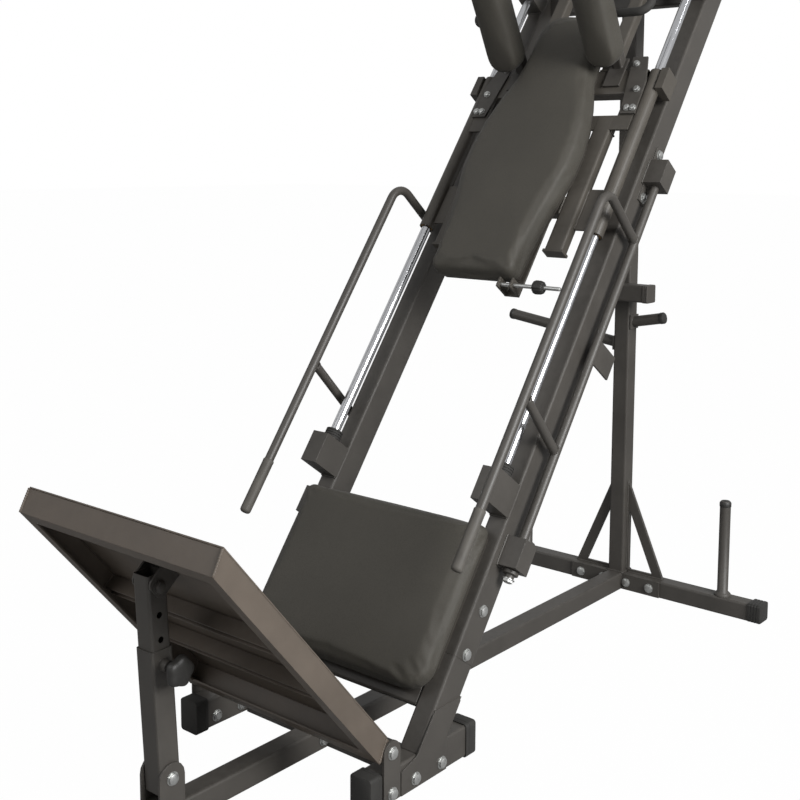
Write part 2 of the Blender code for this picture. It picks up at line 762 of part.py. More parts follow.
def build_post_fittings():
    stop_y = REAR_BEAM_FRONT - GAP - TUBE / 2
    stop_z = STOP_TUBE_Z + TUBE / 2
    bm = bmesh.new()
    box_tube(bm, (-STOP_TUBE_HALF, stop_y, stop_z), (STOP_TUBE_HALF, stop_y, stop_z), TUBE, TUBE, Y_AXIS)
    stop_tube = add_piece("stop_tube", bm, "black_paint")
    bm = bmesh.new()
    crest = box_outline(TUBE + STOP_CAP_OVERSIZE, TUBE + STOP_CAP_OVERSIZE)
    trough = box_outline(TUBE - GAP, TUBE - GAP)
    pitch = STOP_CAP / STOP_CAP_RIBS
    steps = [(-WELD, crest)]
    for rib in range(STOP_CAP_RIBS):
        steps.append((pitch * (rib + 0.60), crest))
        steps.append((pitch * (rib + 0.70), trough))
        if rib < STOP_CAP_RIBS - 1:
            steps.append((pitch * (rib + 0.90), trough))
            steps.append((pitch * (rib + 1.00), crest))
    for side, _ in SIDES:
        turned(bm, (side * STOP_TUBE_HALF, stop_y, stop_z), side * X_AXIS, steps, across=Y_AXIS)
    join(stop_tube, bm)
    drill(stop_tube, [((0, stop_y, stop_z), (0, stop_y + TUBE, stop_z), BOLT_RADIUS)])

    pegs = ((-1, "left", LEFT_PEG_Z, LEFT_PEG_LENGTH, LEFT_PEG_RISE),
            (1, "right", RIGHT_PEG_Z, RIGHT_PEG_LENGTH, RIGHT_PEG_RISE))
    for side, word, height, length, rise in pegs:
        face = TUBE / 2 + GAP
        flange_end = face + PEG_FLANGE_THICK
        half_y = (TUBE - CORNER) / 2
        bm = bmesh.new()
        block(bm, (min(side * face, side * flange_end), REAR_Y - half_y, height - PEG_FLANGE / 2),
              (max(side * face, side * flange_end), REAR_Y + half_y, height + PEG_FLANGE / 2))
        piece = add_piece(f"side_peg_{word}", bm, "grey_paint")
        direction = Vector((side * math.cos(rise), 0, math.sin(rise)))
        root = Vector((side * (flange_end - WELD), REAR_Y, height))
        tip = root + direction * length
        bm = bmesh.new()
        bar(bm, root, tip, round_outline(PEG_RADIUS, SMALL_SIDES), Y_AXIS, start_plane=(root, X_AXIS))
        join(piece, bm)
        bm = bmesh.new()
        wide = round_outline(PEG_RADIUS + PEG_PLUG_OVERSIZE, SMALL_SIDES)
        turned(bm, tip, direction, ((-PEG_PLUG, wide), (0, wide), (0.002, round_outline(PEG_RADIUS, SMALL_SIDES))),
               across=Y_AXIS)
        join(piece, bm)
        hollow_start = root - direction * PEG_FLANGE
        drill(piece, [(hollow_start, tip - direction * PEG_PLUG, PEG_RADIUS - WALL)])


def build_feet():
    foot_z = FOOT_LOW_Z + FOOT_DEPTH / 2
    outline = box_outline(TUBE + 2 * (CAP_WALL + GAP), FOOT_DEPTH + 2 * (CAP_WALL + GAP), CORNER + CAP_WALL)
    pocket = box_outline(TUBE + 2 * GAP, FOOT_DEPTH + 2 * GAP, CORNER)
    front = CAP_WALL + GAP
    back = FOOT_LENGTH - CAP_WALL - GAP
    outer = FOOT_X + TUBE / 2
    for side, word in SIDES:
        x = side * FOOT_X
        bm = bmesh.new()
        box_tube(bm, (x, front, foot_z), (x, back, foot_z), TUBE, FOOT_DEPTH, X_AXIS)
        foot = add_piece(f"foot_{word}", bm, "black_paint")
        drill(foot, [bolt_hole((side * outer, y, FOOT_BOLT_Z), side * X_AXIS, TUBE)
                     for y in (HINGE_Y, *FOOT_BOLT_YS)])
        for end, mouth_y, end_y in (("front", CAP_REACH, 0), ("rear", FOOT_LENGTH - CAP_REACH, FOOT_LENGTH)):
            bm = bmesh.new()
            cup(bm, (x, mouth_y, foot_z), (x, end_y, foot_z), outline, pocket, CAP_WALL, X_AXIS)
            add_piece(f"foot_cap_{end}_{word}", bm, "rubber")


def rail_point(x, s, t):
    """A point of the rail frame in world coordinates."""
    return Vector((x, s * COSINE - t * SINE, s * SINE + t * COSINE))


def rail_s_at_height(height, t):
    return (height - t * COSINE) / SINE


def build_stubs(rail_frame):
    """Each stub stands on a foot, holds the splice tube for its rail, and has a side plate over the foot."""
    cut_z = FOOT_TOP_Z + GAP
    low_s = rail_s_at_height(cut_z, RAIL_T)
    floor_normal = (0, SINE, COSINE)
    width, depth = TUBE - 2 * WALL, RAIL_DEPTH - 2 * WALL
    loose = box_outline(width - 2 * GAP, depth - 2 * GAP, CORNER - WALL)
    tight = box_outline(width + 2 * WELD, depth + 2 * WELD, CORNER - WALL)
    hollow = box_outline(width - 2 * WALL, depth - 2 * WALL, CORNER - WALL)
    seam_end = SEAM_BOLT_SS[1] + SPLICE_BEYOND

    front = rail_point(0, rail_s_at_height(FOOT_TOP_Z, RAIL_FRONT), RAIL_FRONT).y
    back = rail_point(0, rail_s_at_height(FOOT_TOP_Z, RAIL_BACK), RAIL_BACK).y
    slope = COSINE / SINE
    weld_low = FOOT_TOP_Z + 2 * GAP
    high = FOOT_TOP_Z + SIDE_PLATE_RISE
    upper = [(front + 0.002, weld_low), (back - 0.002, weld_low),
             (back - 0.002 + (high - weld_low) * slope, high), (front + 0.002 + (high - weld_low) * slope, high)]
    toe = front - SIDE_PLATE_TOE
    lower = [(toe, SIDE_PLATE_LOW_Z), (back, SIDE_PLATE_LOW_Z), (back, FOOT_TOP_Z),
             (back + 0.9 * SIDE_PLATE_RISE * slope, FOOT_TOP_Z + 0.9 * SIDE_PLATE_RISE),
             (front + 0.9 * SIDE_PLATE_RISE * slope, FOOT_TOP_Z + 0.9 * SIDE_PLATE_RISE),
             (front - 0.004, FOOT_TOP_Z), (toe, FOOT_TOP_Z - 0.016)]
    inner = RAIL_OUTER_X + GAP
    outer = inner + SIDE_PLATE
    for side, word in SIDES:
        x = side * RAIL_X
        low = (x, low_s, RAIL_T)
        bm = bmesh.new()
        box_tube(bm, low, (x, SEAM_S, RAIL_T), TUBE, RAIL_DEPTH, X_AXIS, start_plane=(low, floor_normal))
        stub = add_piece(f"stub_{word}", bm, "black_paint", rail_frame)
        bm = bmesh.new()
        places = [(SEAM_S - SPLICE_BELOW, tight), (SEAM_S - WALL, tight), (SEAM_S - WALL, loose), (seam_end, loose)]
        loft(bm, [placed(points, Vector((x, s, RAIL_T)), X_AXIS, -Z_AXIS) for s, points in places],
             [placed(hollow, Vector((x, s, RAIL_T)), X_AXIS, -Z_AXIS) for s in (SEAM_S - SPLICE_BELOW, seam_end)])
        join(stub, bm)

        def lift(point, level, side=side):
            return Vector((side * level, point[0], point[1]))

        bm = bmesh.new()
        plate(bm, upper, lift, RAIL_OUTER_X - WELD, outer - GAP)
        join(stub, bm, parent=None)
        bm = bmesh.new()
        plate(bm, lower, lift, inner, outer)
        join(stub, bm, parent=None)
        bm = bmesh.new()
        for y in FOOT_BOLT_YS:
            stud(bm, (side * outer, y, FOOT_BOLT_Z), side * X_AXIS, TUBE + GAP + SIDE_PLATE)
        join(stub, bm, parent=None)
        drill(stub, [bolt_hole((side * (RAIL_OUTER_X - WALL), s, RAIL_T), side * X_AXIS, TUBE - 2 * WALL)
                     for s in SEAM_BOLT_SS])


def build_rails(rail_frame):
    """Rails with closed tops, carrying blocks for the guide rods and blocks in which the handles turn."""
    high_end = ROD_BLOCK_HIGH_S + ROD_BLOCK_HIGH_LENGTH
    seat = RAIL_FRONT - WELD
    for side, word in SIDES:
        x = side * RAIL_X
        bm = bmesh.new()
        box_tube(bm, (x, SEAM_S + GAP, RAIL_T), (x, RAIL_TOP_S, RAIL_T), TUBE, RAIL_DEPTH, X_AXIS)
        rail = add_piece(f"rail_{word}", bm, "black_paint", rail_frame)
        join(rail, end_plate((x, RAIL_TOP_S, RAIL_T), Y_AXIS, TUBE, RAIL_DEPTH, X_AXIS))
        bm = bmesh.new()
        half = TUBE / 2 - GAP
        block(bm, (x - half, ROD_BLOCK_LOW_S, seat), (x + half, ROD_BLOCK_LOW_S + ROD_BLOCK, ROD_BLOCK_LOW_FRONT))
        block(bm, (x - half, ROD_BLOCK_HIGH_S, seat), (x + half, high_end, ROD_BLOCK_HIGH_FRONT))
        join(rail, bm)
        inner = side * (RAIL_OUTER_X - WELD)
        outer = side * PIVOT_BLOCK_OUTER_X
        bm = bmesh.new()
        for low in (PIVOT_BLOCK_LOW_S, PIVOT_BLOCK_HIGH_S):
            block(bm, (min(inner, outer), low, PIVOT_T - PIVOT_BLOCK_HALF_T),
                  (max(inner, outer), low + PIVOT_BLOCK_LENGTH, PIVOT_T + PIVOT_BLOCK_HALF_T))
        join(rail, bm)
        flange_s = PIVOT_BLOCK_HIGH_S + PIVOT_BLOCK_LENGTH / 2
        face = side * (RAIL_OUTER_X + PIVOT_FLANGE)
        inner = side * (RAIL_OUTER_X - GAP)
        bm = bmesh.new()
        block(bm, (min(inner, face), flange_s - PIVOT_FLANGE_HALF, PIVOT_T - PIVOT_FLANGE_DEPTH / 2),
              (max(inner, face), flange_s + PIVOT_FLANGE_HALF, PIVOT_T + PIVOT_FLANGE_DEPTH / 2))
        join(rail, bm)
        bm = bmesh.new()
        for s in (flange_s - PIVOT_BOLT_OFFSET, flange_s + PIVOT_BOLT_OFFSET):
            turned(bm, (face, s, PIVOT_T), side * X_AXIS,
                   ((-WELD, hex_outline(HEAD_RADIUS)), (HEAD_HEIGHT, hex_outline(HEAD_RADIUS))))
        for s in SEAM_BOLT_SS:
            stud(bm, (side * RAIL_OUTER_X, s, RAIL_T), side * X_AXIS, TUBE, fixed=True)
        join(rail, bm)
        pivot = side * PIVOT_X
        drill(rail, [
            ((x, ROD_BLOCK_LOW_S + ROD_SEAT, ROD_T), (x, ROD_BLOCK_LOW_S + ROD_BLOCK + 0.01, ROD_T),
             ROD_RADIUS + GAP),
            ((x, ROD_BLOCK_HIGH_S - 0.01, ROD_T), (x, high_end - ROD_SEAT, ROD_T), ROD_RADIUS + GAP),
            ((pivot, PIVOT_BLOCK_LOW_S - 0.01, PIVOT_T), (pivot, PIVOT_BLOCK_LOW_S + PIVOT_BLOCK_LENGTH + 0.01, PIVOT_T),
             PIVOT_RADIUS + PIVOT_CLEARANCE),
            ((pivot, PIVOT_BLOCK_HIGH_S - 0.01, PIVOT_T), (pivot, PIVOT_HIGH_S + GAP, PIVOT_T),
             PIVOT_RADIUS + PIVOT_CLEARANCE),
        ])

        bm = bmesh.new()
        bar(bm, (x, ROD_BLOCK_LOW_S + ROD_SEAT + GAP, ROD_T), (x, high_end - ROD_SEAT - GAP, ROD_T),
            round_outline(ROD_RADIUS))
        add_piece(f"guide_rod_{word}", bm, "chrome", rail_frame)
        bumper_low = ROD_BLOCK_LOW_S + ROD_BLOCK + GAP
        bm = bmesh.new()
        bar(bm, (x, bumper_low, ROD_T), (x, bumper_low + BUMPER_LENGTH, ROD_T),
            round_outline(BUMPER_RADIUS), bore=round_outline(ROD_RADIUS + GAP))
        add_piece(f"rod_bumper_{word}", bm, "rubber", rail_frame)


def build_top_cross():
    y = REAR_BEAM_FRONT - GAP - TUBE / 2
    z = TOP_CROSS_Z + TUBE / 2
    half = RAIL_INNER_X - GAP
    bm = bmesh.new()
    box_tube(bm, (-half, y, z), (half, y, z), TUBE, TUBE, Y_AXIS)
    add_piece("top_cross_member", bm, "black_paint")


def build_lower_pad(rail_frame):
    board_back = RAIL_FRONT + GAP
    board_front = board_back + BOARD
    half, low, high = LOWER_PAD_HALF, LOWER_PAD_LOW_S, LOWER_PAD_HIGH_S
    radii = [LOWER_PAD_CORNER, LOWER_PAD_CORNER, LOWER_PAD_TOP_CORNER, LOWER_PAD_TOP_CORNER]

    def place(point, level):
        return Vector((point[0], point[1], level))

    def lifted(point, height):
        return Vector((point[0], point[1], board_front + GAP + height))

    inner, under, over = half - BOARD_INSET, low + BOARD_INSET, high - BOARD_INSET
    bm = bmesh.new()
    plate(bm, rounded_polygon([(-inner, under), (inner, under), (inner, over), (-inner, over)], radii),
          place, board_back, board_front)
    add_piece("lower_pad_board", bm, "plywood", rail_frame)

    bm = bmesh.new()
    outline = rounded_polygon([(-half, low), (half, low), (half, high), (-half, high)], radii, 4)
    cushion(bm, spaced(outline, 0.110), lifted, LOWER_PAD_THICK, LOWER_PAD_CROWN)
    add_piece("lower_pad", bm, "vinyl", rail_frame)

    reach = RAIL_INNER_X - GAP
    level = RAIL_FRONT - PAD_RAIL_DEPTH / 2
    for word, s in zip(("low", "high"), PAD_RAIL_SS):
        bm = bmesh.new()
        box_tube(bm, (-reach, s, level), (reach, s, level), PAD_RAIL_DEPTH, PAD_RAIL_WIDTH, Z_AXIS)
        add_piece(f"pad_cross_bar_{word}", bm, "black_paint", rail_frame)


# Safety handles


def build_handles(rail_frame):
    """Each handle is a bent tube on two legs that turns with its pivot tube, collar and catch lug."""
    outline = round_outline(HANDLE_RADIUS, SMALL_SIDES)
    bore = round_outline(HANDLE_RADIUS - WALL, SMALL_SIDES)
    bar_t = HANDLE_T - PIVOT_T
    leg_root = PIVOT_RADIUS - WALL + GAP
    for side, word in SIDES:
        pivot = add_empty(f"handle_{word}_axis", rail_frame, (side * PIVOT_X, 0, PIVOT_T))
        offset = side * (HANDLE_X - PIVOT_X)
        bm = bmesh.new()
        bar(bm, (0, PIVOT_LOW_S, 0), (0, PIVOT_HIGH_S, 0), round_outline(PIVOT_RADIUS, SMALL_SIDES), X_AXIS,
            round_outline(PIVOT_RADIUS - WALL, SMALL_SIDES))
        handle = add_piece(f"handle_{word}", bm, "black_paint", pivot)
        path = bent_path([(offset, HANDLE_LOW_S, bar_t), (offset, HANDLE_HIGH_S, bar_t),
                          (0, HANDLE_TOP_LEG_S, leg_root)], [HANDLE_BEND])
        bm = bmesh.new()
        sweep(bm, path, outline, X_AXIS, bore)
        join(handle, bm)
        leg_start = Vector((0, MID_LEG_TUBE_S, leg_root))
        leg_end = Vector((offset, MID_LEG_BAR_S, bar_t - HANDLE_RADIUS + WALL - GAP))
        bm = bmesh.new()
        bar(bm, leg_start, leg_end, round_outline(HANDLE_RADIUS - 2 * GAP, SMALL_SIDES), X_AXIS,
            start_plane=(leg_start, Z_AXIS), end_plane=(leg_end, Z_AXIS))
        join(handle, bm)
        bm = bmesh.new()
        lug_top = -PIVOT_RADIUS + WALL - GAP
        block(bm, (-LUG_THICK / 2, LUG_S - LUG_LENGTH / 2, -PIVOT_RADIUS - LUG_REACH),
              (LUG_THICK / 2, LUG_S + LUG_LENGTH / 2, lug_top))
        high = PIVOT_BLOCK_LOW_S - GAP
        bar(bm, (0, high - COLLAR_LENGTH, 0), (0, high, 0), round_outline(COLLAR_RADIUS, SMALL_SIDES), X_AXIS,
            round_outline(PIVOT_RADIUS - WELD, SMALL_SIDES))
        join(handle, bm)

        bm = bmesh.new()
        cup(bm, (offset, HANDLE_LOW_S + HANDLE_GRIP_LENGTH, bar_t), (offset, HANDLE_LOW_S - HANDLE_GRIP_END, bar_t),
            round_outline(HANDLE_GRIP_RADIUS, SMALL_SIDES), round_outline(HANDLE_RADIUS + GAP, SMALL_SIDES),
            HANDLE_GRIP_END - GAP, X_AXIS)
        add_piece(f"handle_grip_{word}", bm, "rubber", pivot)


# Carriage


def build_bearings(carriage):
    """Sleeves that run on the rods at both ends and stand clear of them between."""
    low = HOUSING_LOW_S + BEARING_INSET
    high = HOUSING_HIGH_S - BEARING_INSET
    run = round_outline(ROD_RADIUS + BUSH_CLEARANCE)
    clear = round_outline(ROD_RADIUS + BUSH_RELIEF)
    for side, word in SIDES:
        x = side * ROD_X

        def ring(points, s, x=x):
            return placed(points, Vector((x, s, ROD_T)), X_AXIS, -Z_AXIS)

        outer = round_outline(BUSH_RADIUS)
        bm = bmesh.new()
        loft(bm, [ring(outer, low), ring(outer, high)],
             [ring(run, low), ring(run, low + BUSH_LENGTH), ring(clear, low + BUSH_LENGTH),
              ring(clear, high - BUSH_LENGTH), ring(run, high - BUSH_LENGTH), ring(run, high)])
        add_piece(f"linear_bearing_{word}", bm, "bronze", carriage)


def build_carriage_frame(carriage):
    reach = ROD_X - HOUSING_RADIUS + WELD
    cross_s = (HOUSING_HIGH_S + CROSS_LOW_S) / 2
    front = CARRIAGE_FRONT - GAP
    back = front - BAND_THICK
    bm = bmesh.new()
    box_tube(bm, (-reach, cross_s, CARRIAGE_T), (reach, cross_s, CARRIAGE_T), CARRIAGE_DEPTH,
             HOUSING_HIGH_S - CROSS_LOW_S, Z_AXIS)
    frame = add_piece("carriage_frame", bm, "grey_paint", carriage)

    bm = bmesh.new()
    for side, _ in SIDES:
        x = side * ROD_X
        bar(bm, (x, HOUSING_LOW_S, ROD_T), (x, HOUSING_HIGH_S - WELD, ROD_T), round_outline(HOUSING_RADIUS),
            bore=round_outline(BUSH_RADIUS + GAP))
    join(frame, bm)

    edge = ROD_X - BAND_SHORT
    outline = [(-edge, BAND_LOW_S), (edge, BAND_LOW_S), (edge, CROSS_LOW_S + WELD), (-edge, CROSS_LOW_S + WELD)]

    def place(point, level):
        return Vector((point[0], point[1], level))

    bm = bmesh.new()
    plate(bm, outline, place, back, front)
    join(frame, bm)

    spines = bmesh.new()
    feet = bmesh.new()
    webs = bmesh.new()
    for side, _ in SIDES:
        spine_x = side * (SPINE_INNER_X + SPINE_WIDTH / 2)
        box_tube(spines, (spine_x, SPINE_LOW_S, CARRIAGE_T), (spine_x, WINDOW_LOW_S - GAP, CARRIAGE_T),
                 SPINE_WIDTH, CARRIAGE_DEPTH, X_AXIS)
        upright_x = side * (UPRIGHT_INNER_X + UPRIGHT_WIDTH / 2)
        box_tube(spines, (upright_x, HOUSING_HIGH_S - WELD, CARRIAGE_T), (upright_x, HORN_S + HORN_TUBE / 2, CARRIAGE_T),
                 UPRIGHT_WIDTH, CARRIAGE_DEPTH, X_AXIS)
        block(feet, (spine_x - SPINE_WIDTH / 2 - SPINE_END_LIP, SPINE_LOW_S - SPINE_END_PLATE, CARRIAGE_BACK + GAP),
              (spine_x + SPINE_WIDTH / 2 + SPINE_END_LIP, SPINE_LOW_S + WELD, front))
        web_in = side * (SPINE_INNER_X + SPINE_WIDTH - WELD)
        web_out = side * reach
        block(webs, (min(web_in, web_out), LOWER_CROSS_LOW_S, ROD_T - BAND_THICK / 2),
              (max(web_in, web_out), LOWER_CROSS_HIGH_S, ROD_T + BAND_THICK / 2))
    join(frame, spines)
    join(frame, feet)

    lower_s = (LOWER_CROSS_LOW_S + LOWER_CROSS_HIGH_S) / 2
    half = SPINE_INNER_X + WELD
    low_t = CARRIAGE_T
    box_tube(webs, (-half, lower_s, low_t), (half, lower_s, low_t), CARRIAGE_DEPTH - 4 * GAP, TUBE, Z_AXIS)
    horn_t = CARRIAGE_FRONT - WELD + HORN_TUBE / 2
    box_tube(webs, (-HORN_TUBE_HALF, HORN_S, horn_t), (HORN_TUBE_HALF, HORN_S, horn_t), HORN_TUBE, HORN_TUBE,
             Y_AXIS, wall=HORN_TUBE_WALL)
    lug_low, lug_high = STOP_LUG_SS
    for side, _ in SIDES:
        inner = side * (ROD_X + HOUSING_RADIUS - WELD)
        outer = inner + side * STOP_LUG_REACH
        lug_t = ROD_T - STOP_LUG_BEHIND
        block(webs, (min(inner, outer), lug_low, lug_t - STOP_LUG_DEPTH / 2),
              (max(inner, outer), lug_high, lug_t + STOP_LUG_DEPTH / 2))
    join(frame, webs)

    strap_back = CARRIAGE_FRONT - PAD_PIN_STRAP
    strap_high = lower_s - TUBE / 2 + WELD
    low_s = PAD_PIN_S - PAD_PIN_SHOULDER
    ear_high = BACK_PAD_STATIONS[0][0] - GAP
    first, last = PAD_PIN_EARS
    bm = bmesh.new()
    block(bm, (first - PAD_PIN_EAR / 2, low_s, strap_back), (last + PAD_PIN_EAR / 2, strap_high, front))
    join(frame, bm)
    bm = bmesh.new()
    for x in PAD_PIN_EARS:
        edge = -GAP if x == first else GAP
        block(bm, (x - PAD_PIN_EAR / 2 - edge, low_s + GAP, front - WELD),
              (x + PAD_PIN_EAR / 2 - edge, ear_high, PAD_PIN_T + PAD_PIN_SHOULDER))
    join(frame, bm)

    holes = [((x - PAD_PIN_EAR, PAD_PIN_S, PAD_PIN_T), (x + PAD_PIN_EAR, PAD_PIN_S, PAD_PIN_T),
              PAD_PIN_RADIUS + HOLE_CLEARANCE) for x in PAD_PIN_EARS]
    for side, _ in SIDES:
        drain_x = side * SPINE_INNER_X / 2
        holes.append(((drain_x, lower_s, CARRIAGE_BACK - 0.001), (drain_x, lower_s, CARRIAGE_T), BOLT_RADIUS))
        for bolt_x, bolt_s in CLAMP_THROUGH_BOLTS:
            holes.append(((side * bolt_x, bolt_s, CARRIAGE_FRONT + 0.001), (side * bolt_x, bolt_s, CARRIAGE_T),
                          CLAMP_BOLT_RADIUS + HOLE_CLEARANCE))
    windows = bmesh.new()
    for side, _ in SIDES:
        low_x, high_x = sorted((side * WINDOW_INNER_X, side * WINDOW_OUTER_X))
        block(windows, (low_x, WINDOW_LOW_S, back - 0.001), (high_x, CROSS_LOW_S - 2 * GAP, front + 0.001))
    cut_away(frame, windows)
    drill(frame, holes)

    for side, word in SIDES:
        start = side * (HORN_TUBE_HALF + GAP)
        end = side * HORN_REACH
        bm = bmesh.new()
        turned(bm, (start, HORN_S, horn_t), side * X_AXIS, (
            (0, round_outline(HORN_RADIUS)), (abs(end - start) - 0.003, round_outline(HORN_RADIUS)),
            (abs(end - start), round_outline(HORN_RADIUS - 0.003))), across=Y_AXIS)
        horn = add_piece(f"loading_horn_{word}", bm, "chrome", carriage)
        drill(horn, [((start - side * 0.01, HORN_S, horn_t), (end - side * HORN_END, HORN_S, horn_t),
                      HORN_RADIUS - HORN_TUBE_WALL)])


def build_side_plates(carriage):
    """Plates in front of the bearing housings with their bolts."""
    low_t = CARRIAGE_FRONT + GAP
    high_t = low_t + CLAMP_PLATE
    head = round_outline(CLAMP_BOLT_RADIUS + 0.003, CLAMP_BOLT_SIDES)
    cap = round_outline(CLAMP_BOLT_RADIUS + 0.001, CLAMP_BOLT_SIDES)
    shank = round_outline(CLAMP_BOLT_RADIUS, CLAMP_BOLT_SIDES)
    for side, word in SIDES:

        def place(point, level, side=side):
            return Vector((side * point[0], point[1], level))

        bm = bmesh.new()
        plate(bm, CLAMP_OUTLINE, place, low_t, high_t)
        piece = add_piece(f"carriage_side_plate_{word}", bm, "black_paint", carriage)
        bm = bmesh.new()
        for bolts, depth in ((CLAMP_THROUGH_BOLTS, CLAMP_PLATE + 0.006), (CLAMP_SHORT_BOLTS, WALL)):
            for bolt_x, bolt_s in bolts:
                turned(bm, (side * bolt_x, bolt_s, high_t), Z_AXIS,
                       ((-depth, shank), (-WELD, shank), (-WELD, head), (0.004, head), (0.006, cap)))
        join(piece, bm)


def smooth_width(s):
    """Half width of the back pad, a smooth curve through its stations."""
    stations = BACK_PAD_STATIONS
    last = len(stations) - 2
    i = max(0, min(last, sum(1 for station in stations if station[0] <= s) - 1))
    s0, w0 = stations[i]
    s1, w1 = stations[i + 1]

    def slope(k):
        if k in (0, len(stations) - 1):
            return 0.0
        return (stations[k + 1][1] - stations[k - 1][1]) / (stations[k + 1][0] - stations[k - 1][0])

    u = (s - s0) / (s1 - s0)
    span = s1 - s0
    return ((2 * u ** 3 - 3 * u ** 2 + 1) * w0 + (u ** 3 - 2 * u ** 2 + u) * span * slope(i)
            + (3 * u ** 2 - 2 * u ** 3) * w1 + (u ** 3 - u ** 2) * span * slope(i + 1))


def back_pad_outline(inset=0.0, steps=10):
    low, high = BACK_PAD_STATIONS[0][0], BACK_PAD_STATIONS[-1][0]
    foot, head = BACK_PAD_FOOT_CORNER, BACK_PAD_HEAD_CORNER
    right = []
    arc = 4
    foot_centre = Vector((smooth_width(low + foot) - foot, low + foot))
    for k in range(arc):
        angle = math.pi / 2 * (k / arc - 1)
        right.append(foot_centre + (foot - inset) * Vector((math.cos(angle), math.sin(angle))))
    for k in range(steps + 1):
        s = low + foot + (high - head - low - foot) * k / steps
        right.append(Vector((smooth_width(s) - inset, s)))
    head_centre = Vector((smooth_width(high - head) - head, high - head))
    for k in range(1, arc + 2):
        angle = math.pi / 2 * k / (arc + 1)
        right.append(head_centre + (head - inset) * Vector((math.cos(angle), math.sin(angle))))
    left = [Vector((-p.x, p.y)) for p in reversed(right)]
    return right + left


def build_back_pad(carriage):
    board_back = CARRIAGE_FRONT + GAP
    board_front = board_back + BOARD

    def place(point, level):
        return Vector((point[0], point[1], level))

    def lifted(point, height):
        return Vector((point[0], point[1], board_front + GAP + height))

    bm = bmesh.new()
    plate(bm, back_pad_outline(inset=BOARD_INSET), place, board_back, board_front)
    add_piece("back_pad_board", bm, "plywood", carriage)
    bm = bmesh.new()
    cushion(bm, back_pad_outline(), lifted, BACK_PAD_THICK, BACK_PAD_CROWN)
    add_piece("back_pad", bm, "vinyl", carriage)


def shoulder_point(side, across, along, lift):
    """A point of a shoulder pad: across from its middle, along its lean and lifted from its underside."""
    s = SHOULDER_ROOT_S + along * math.sin(SHOULDER_LEAN) + lift * math.cos(SHOULDER_LEAN)
    t = SHOULDER_ROOT_T + along * math.cos(SHOULDER_LEAN) - lift * math.sin(SHOULDER_LEAN)
    return Vector((side * (SHOULDER_X + across), s, t))


def build_shoulders(carriage):
    half, length = SHOULDER_HALF, SHOULDER_LENGTH
    outline = spaced(rounded_polygon([(-half, 0), (half, 0), (half, length), (-half, length)],
                                     [SHOULDER_CORNER] * 4, 3), 0.120)
    edge = BOARD_INSET
    inner = half - edge
    first = SHOULDER_PLATE_START
    board = rounded_polygon([(-inner, first), (inner, first), (inner, length - edge), (-inner, length - edge)],
                            [SHOULDER_CORNER - edge] * 4, 4)
    board_low = SHOULDER_THICK + GAP
    board_high = board_low + SHOULDER_PLATE
    arm_mid = board_high - WELD + SHOULDER_ARM / 2
    face = (0, 0, CARRIAGE_FRONT + GAP)
    for side, word in SIDES:

        def under(point, height, side=side):
            return shoulder_point(side, point[0], point[1], SHOULDER_THICK - height)

        def lift(point, level, side=side):
            return shoulder_point(side, point[0], point[1], level)

        bm = bmesh.new()
        cushion(bm, outline, under, SHOULDER_THICK, SHOULDER_CROWN)
        add_piece(f"shoulder_pad_{word}", bm, "vinyl", carriage)

        bm = bmesh.new()
        plate(bm, board, lift, board_low, board_high)
        bracket = add_piece(f"shoulder_bracket_{word}", bm, "black_paint", carriage)
        bm = bmesh.new()
        start = shoulder_point(side, 0, 0, arm_mid)
        end = shoulder_point(side, 0, SHOULDER_ARM_END, arm_mid)
        box_tube(bm, start, end, SHOULDER_ARM, SHOULDER_ARM, X_AXIS, start_plane=(face, Z_AXIS))
        join(bracket, bm)
        x, (foot_low, foot_high) = side * SHOULDER_X, SHOULDER_FOOT_SS
        bm = bmesh.new()
        block(bm, (x - SHOULDER_FOOT_HALF, foot_low, face[2]), (x + SHOULDER_FOOT_HALF, foot_high, face[2] + SHOULDER_FOOT))
        join(bracket, bm)

        low = shoulder_point(side, SHOULDER_ARM / 2 + GAP, GRIP_BAR_L, arm_mid)
        reach = Vector((side * GRIP_BAR_REACH, low.y, low.z))
        path = bent_path([low, reach, reach + Vector((0, GRIP_BAR_HEIGHT, 0))], [GRIP_BAR_BEND], 4)
        bm = bmesh.new()
        sweep(bm, path, round_outline(GRIP_BAR_RADIUS, SMALL_SIDES), Z_AXIS)
        add_piece(f"hand_grip_{word}", bm, "rubber", carriage)


def build_pad_pin(carriage):
    """A pull pin in two ears under the back pad, drawn to the right by its knob."""
    bm = bmesh.new()
    rod = round_outline(PAD_PIN_RADIUS, SMALL_SIDES)
    knob = round_outline(PAD_KNOB_RADIUS, SMALL_SIDES)
    waist = round_outline(PAD_KNOB_RADIUS * 0.7, SMALL_SIDES)
    start = PAD_PIN_EARS[0] - 0.010
    knob_x = PAD_KNOB_X - start
    turned(bm, (start, 0, 0), X_AXIS, (
        (0, rod), (knob_x, rod), (knob_x, waist), (knob_x + 0.004, knob),
        (knob_x + PAD_KNOB_LENGTH - 0.004, knob), (knob_x + PAD_KNOB_LENGTH, waist),
        (knob_x + PAD_KNOB_LENGTH, rod), (PAD_PIN_END - start, rod)), across=Y_AXIS)
    add_piece("pad_pull_pin", bm, "plastic", carriage, (0, PAD_PIN_S, PAD_PIN_T))


# Foot plate and its strut


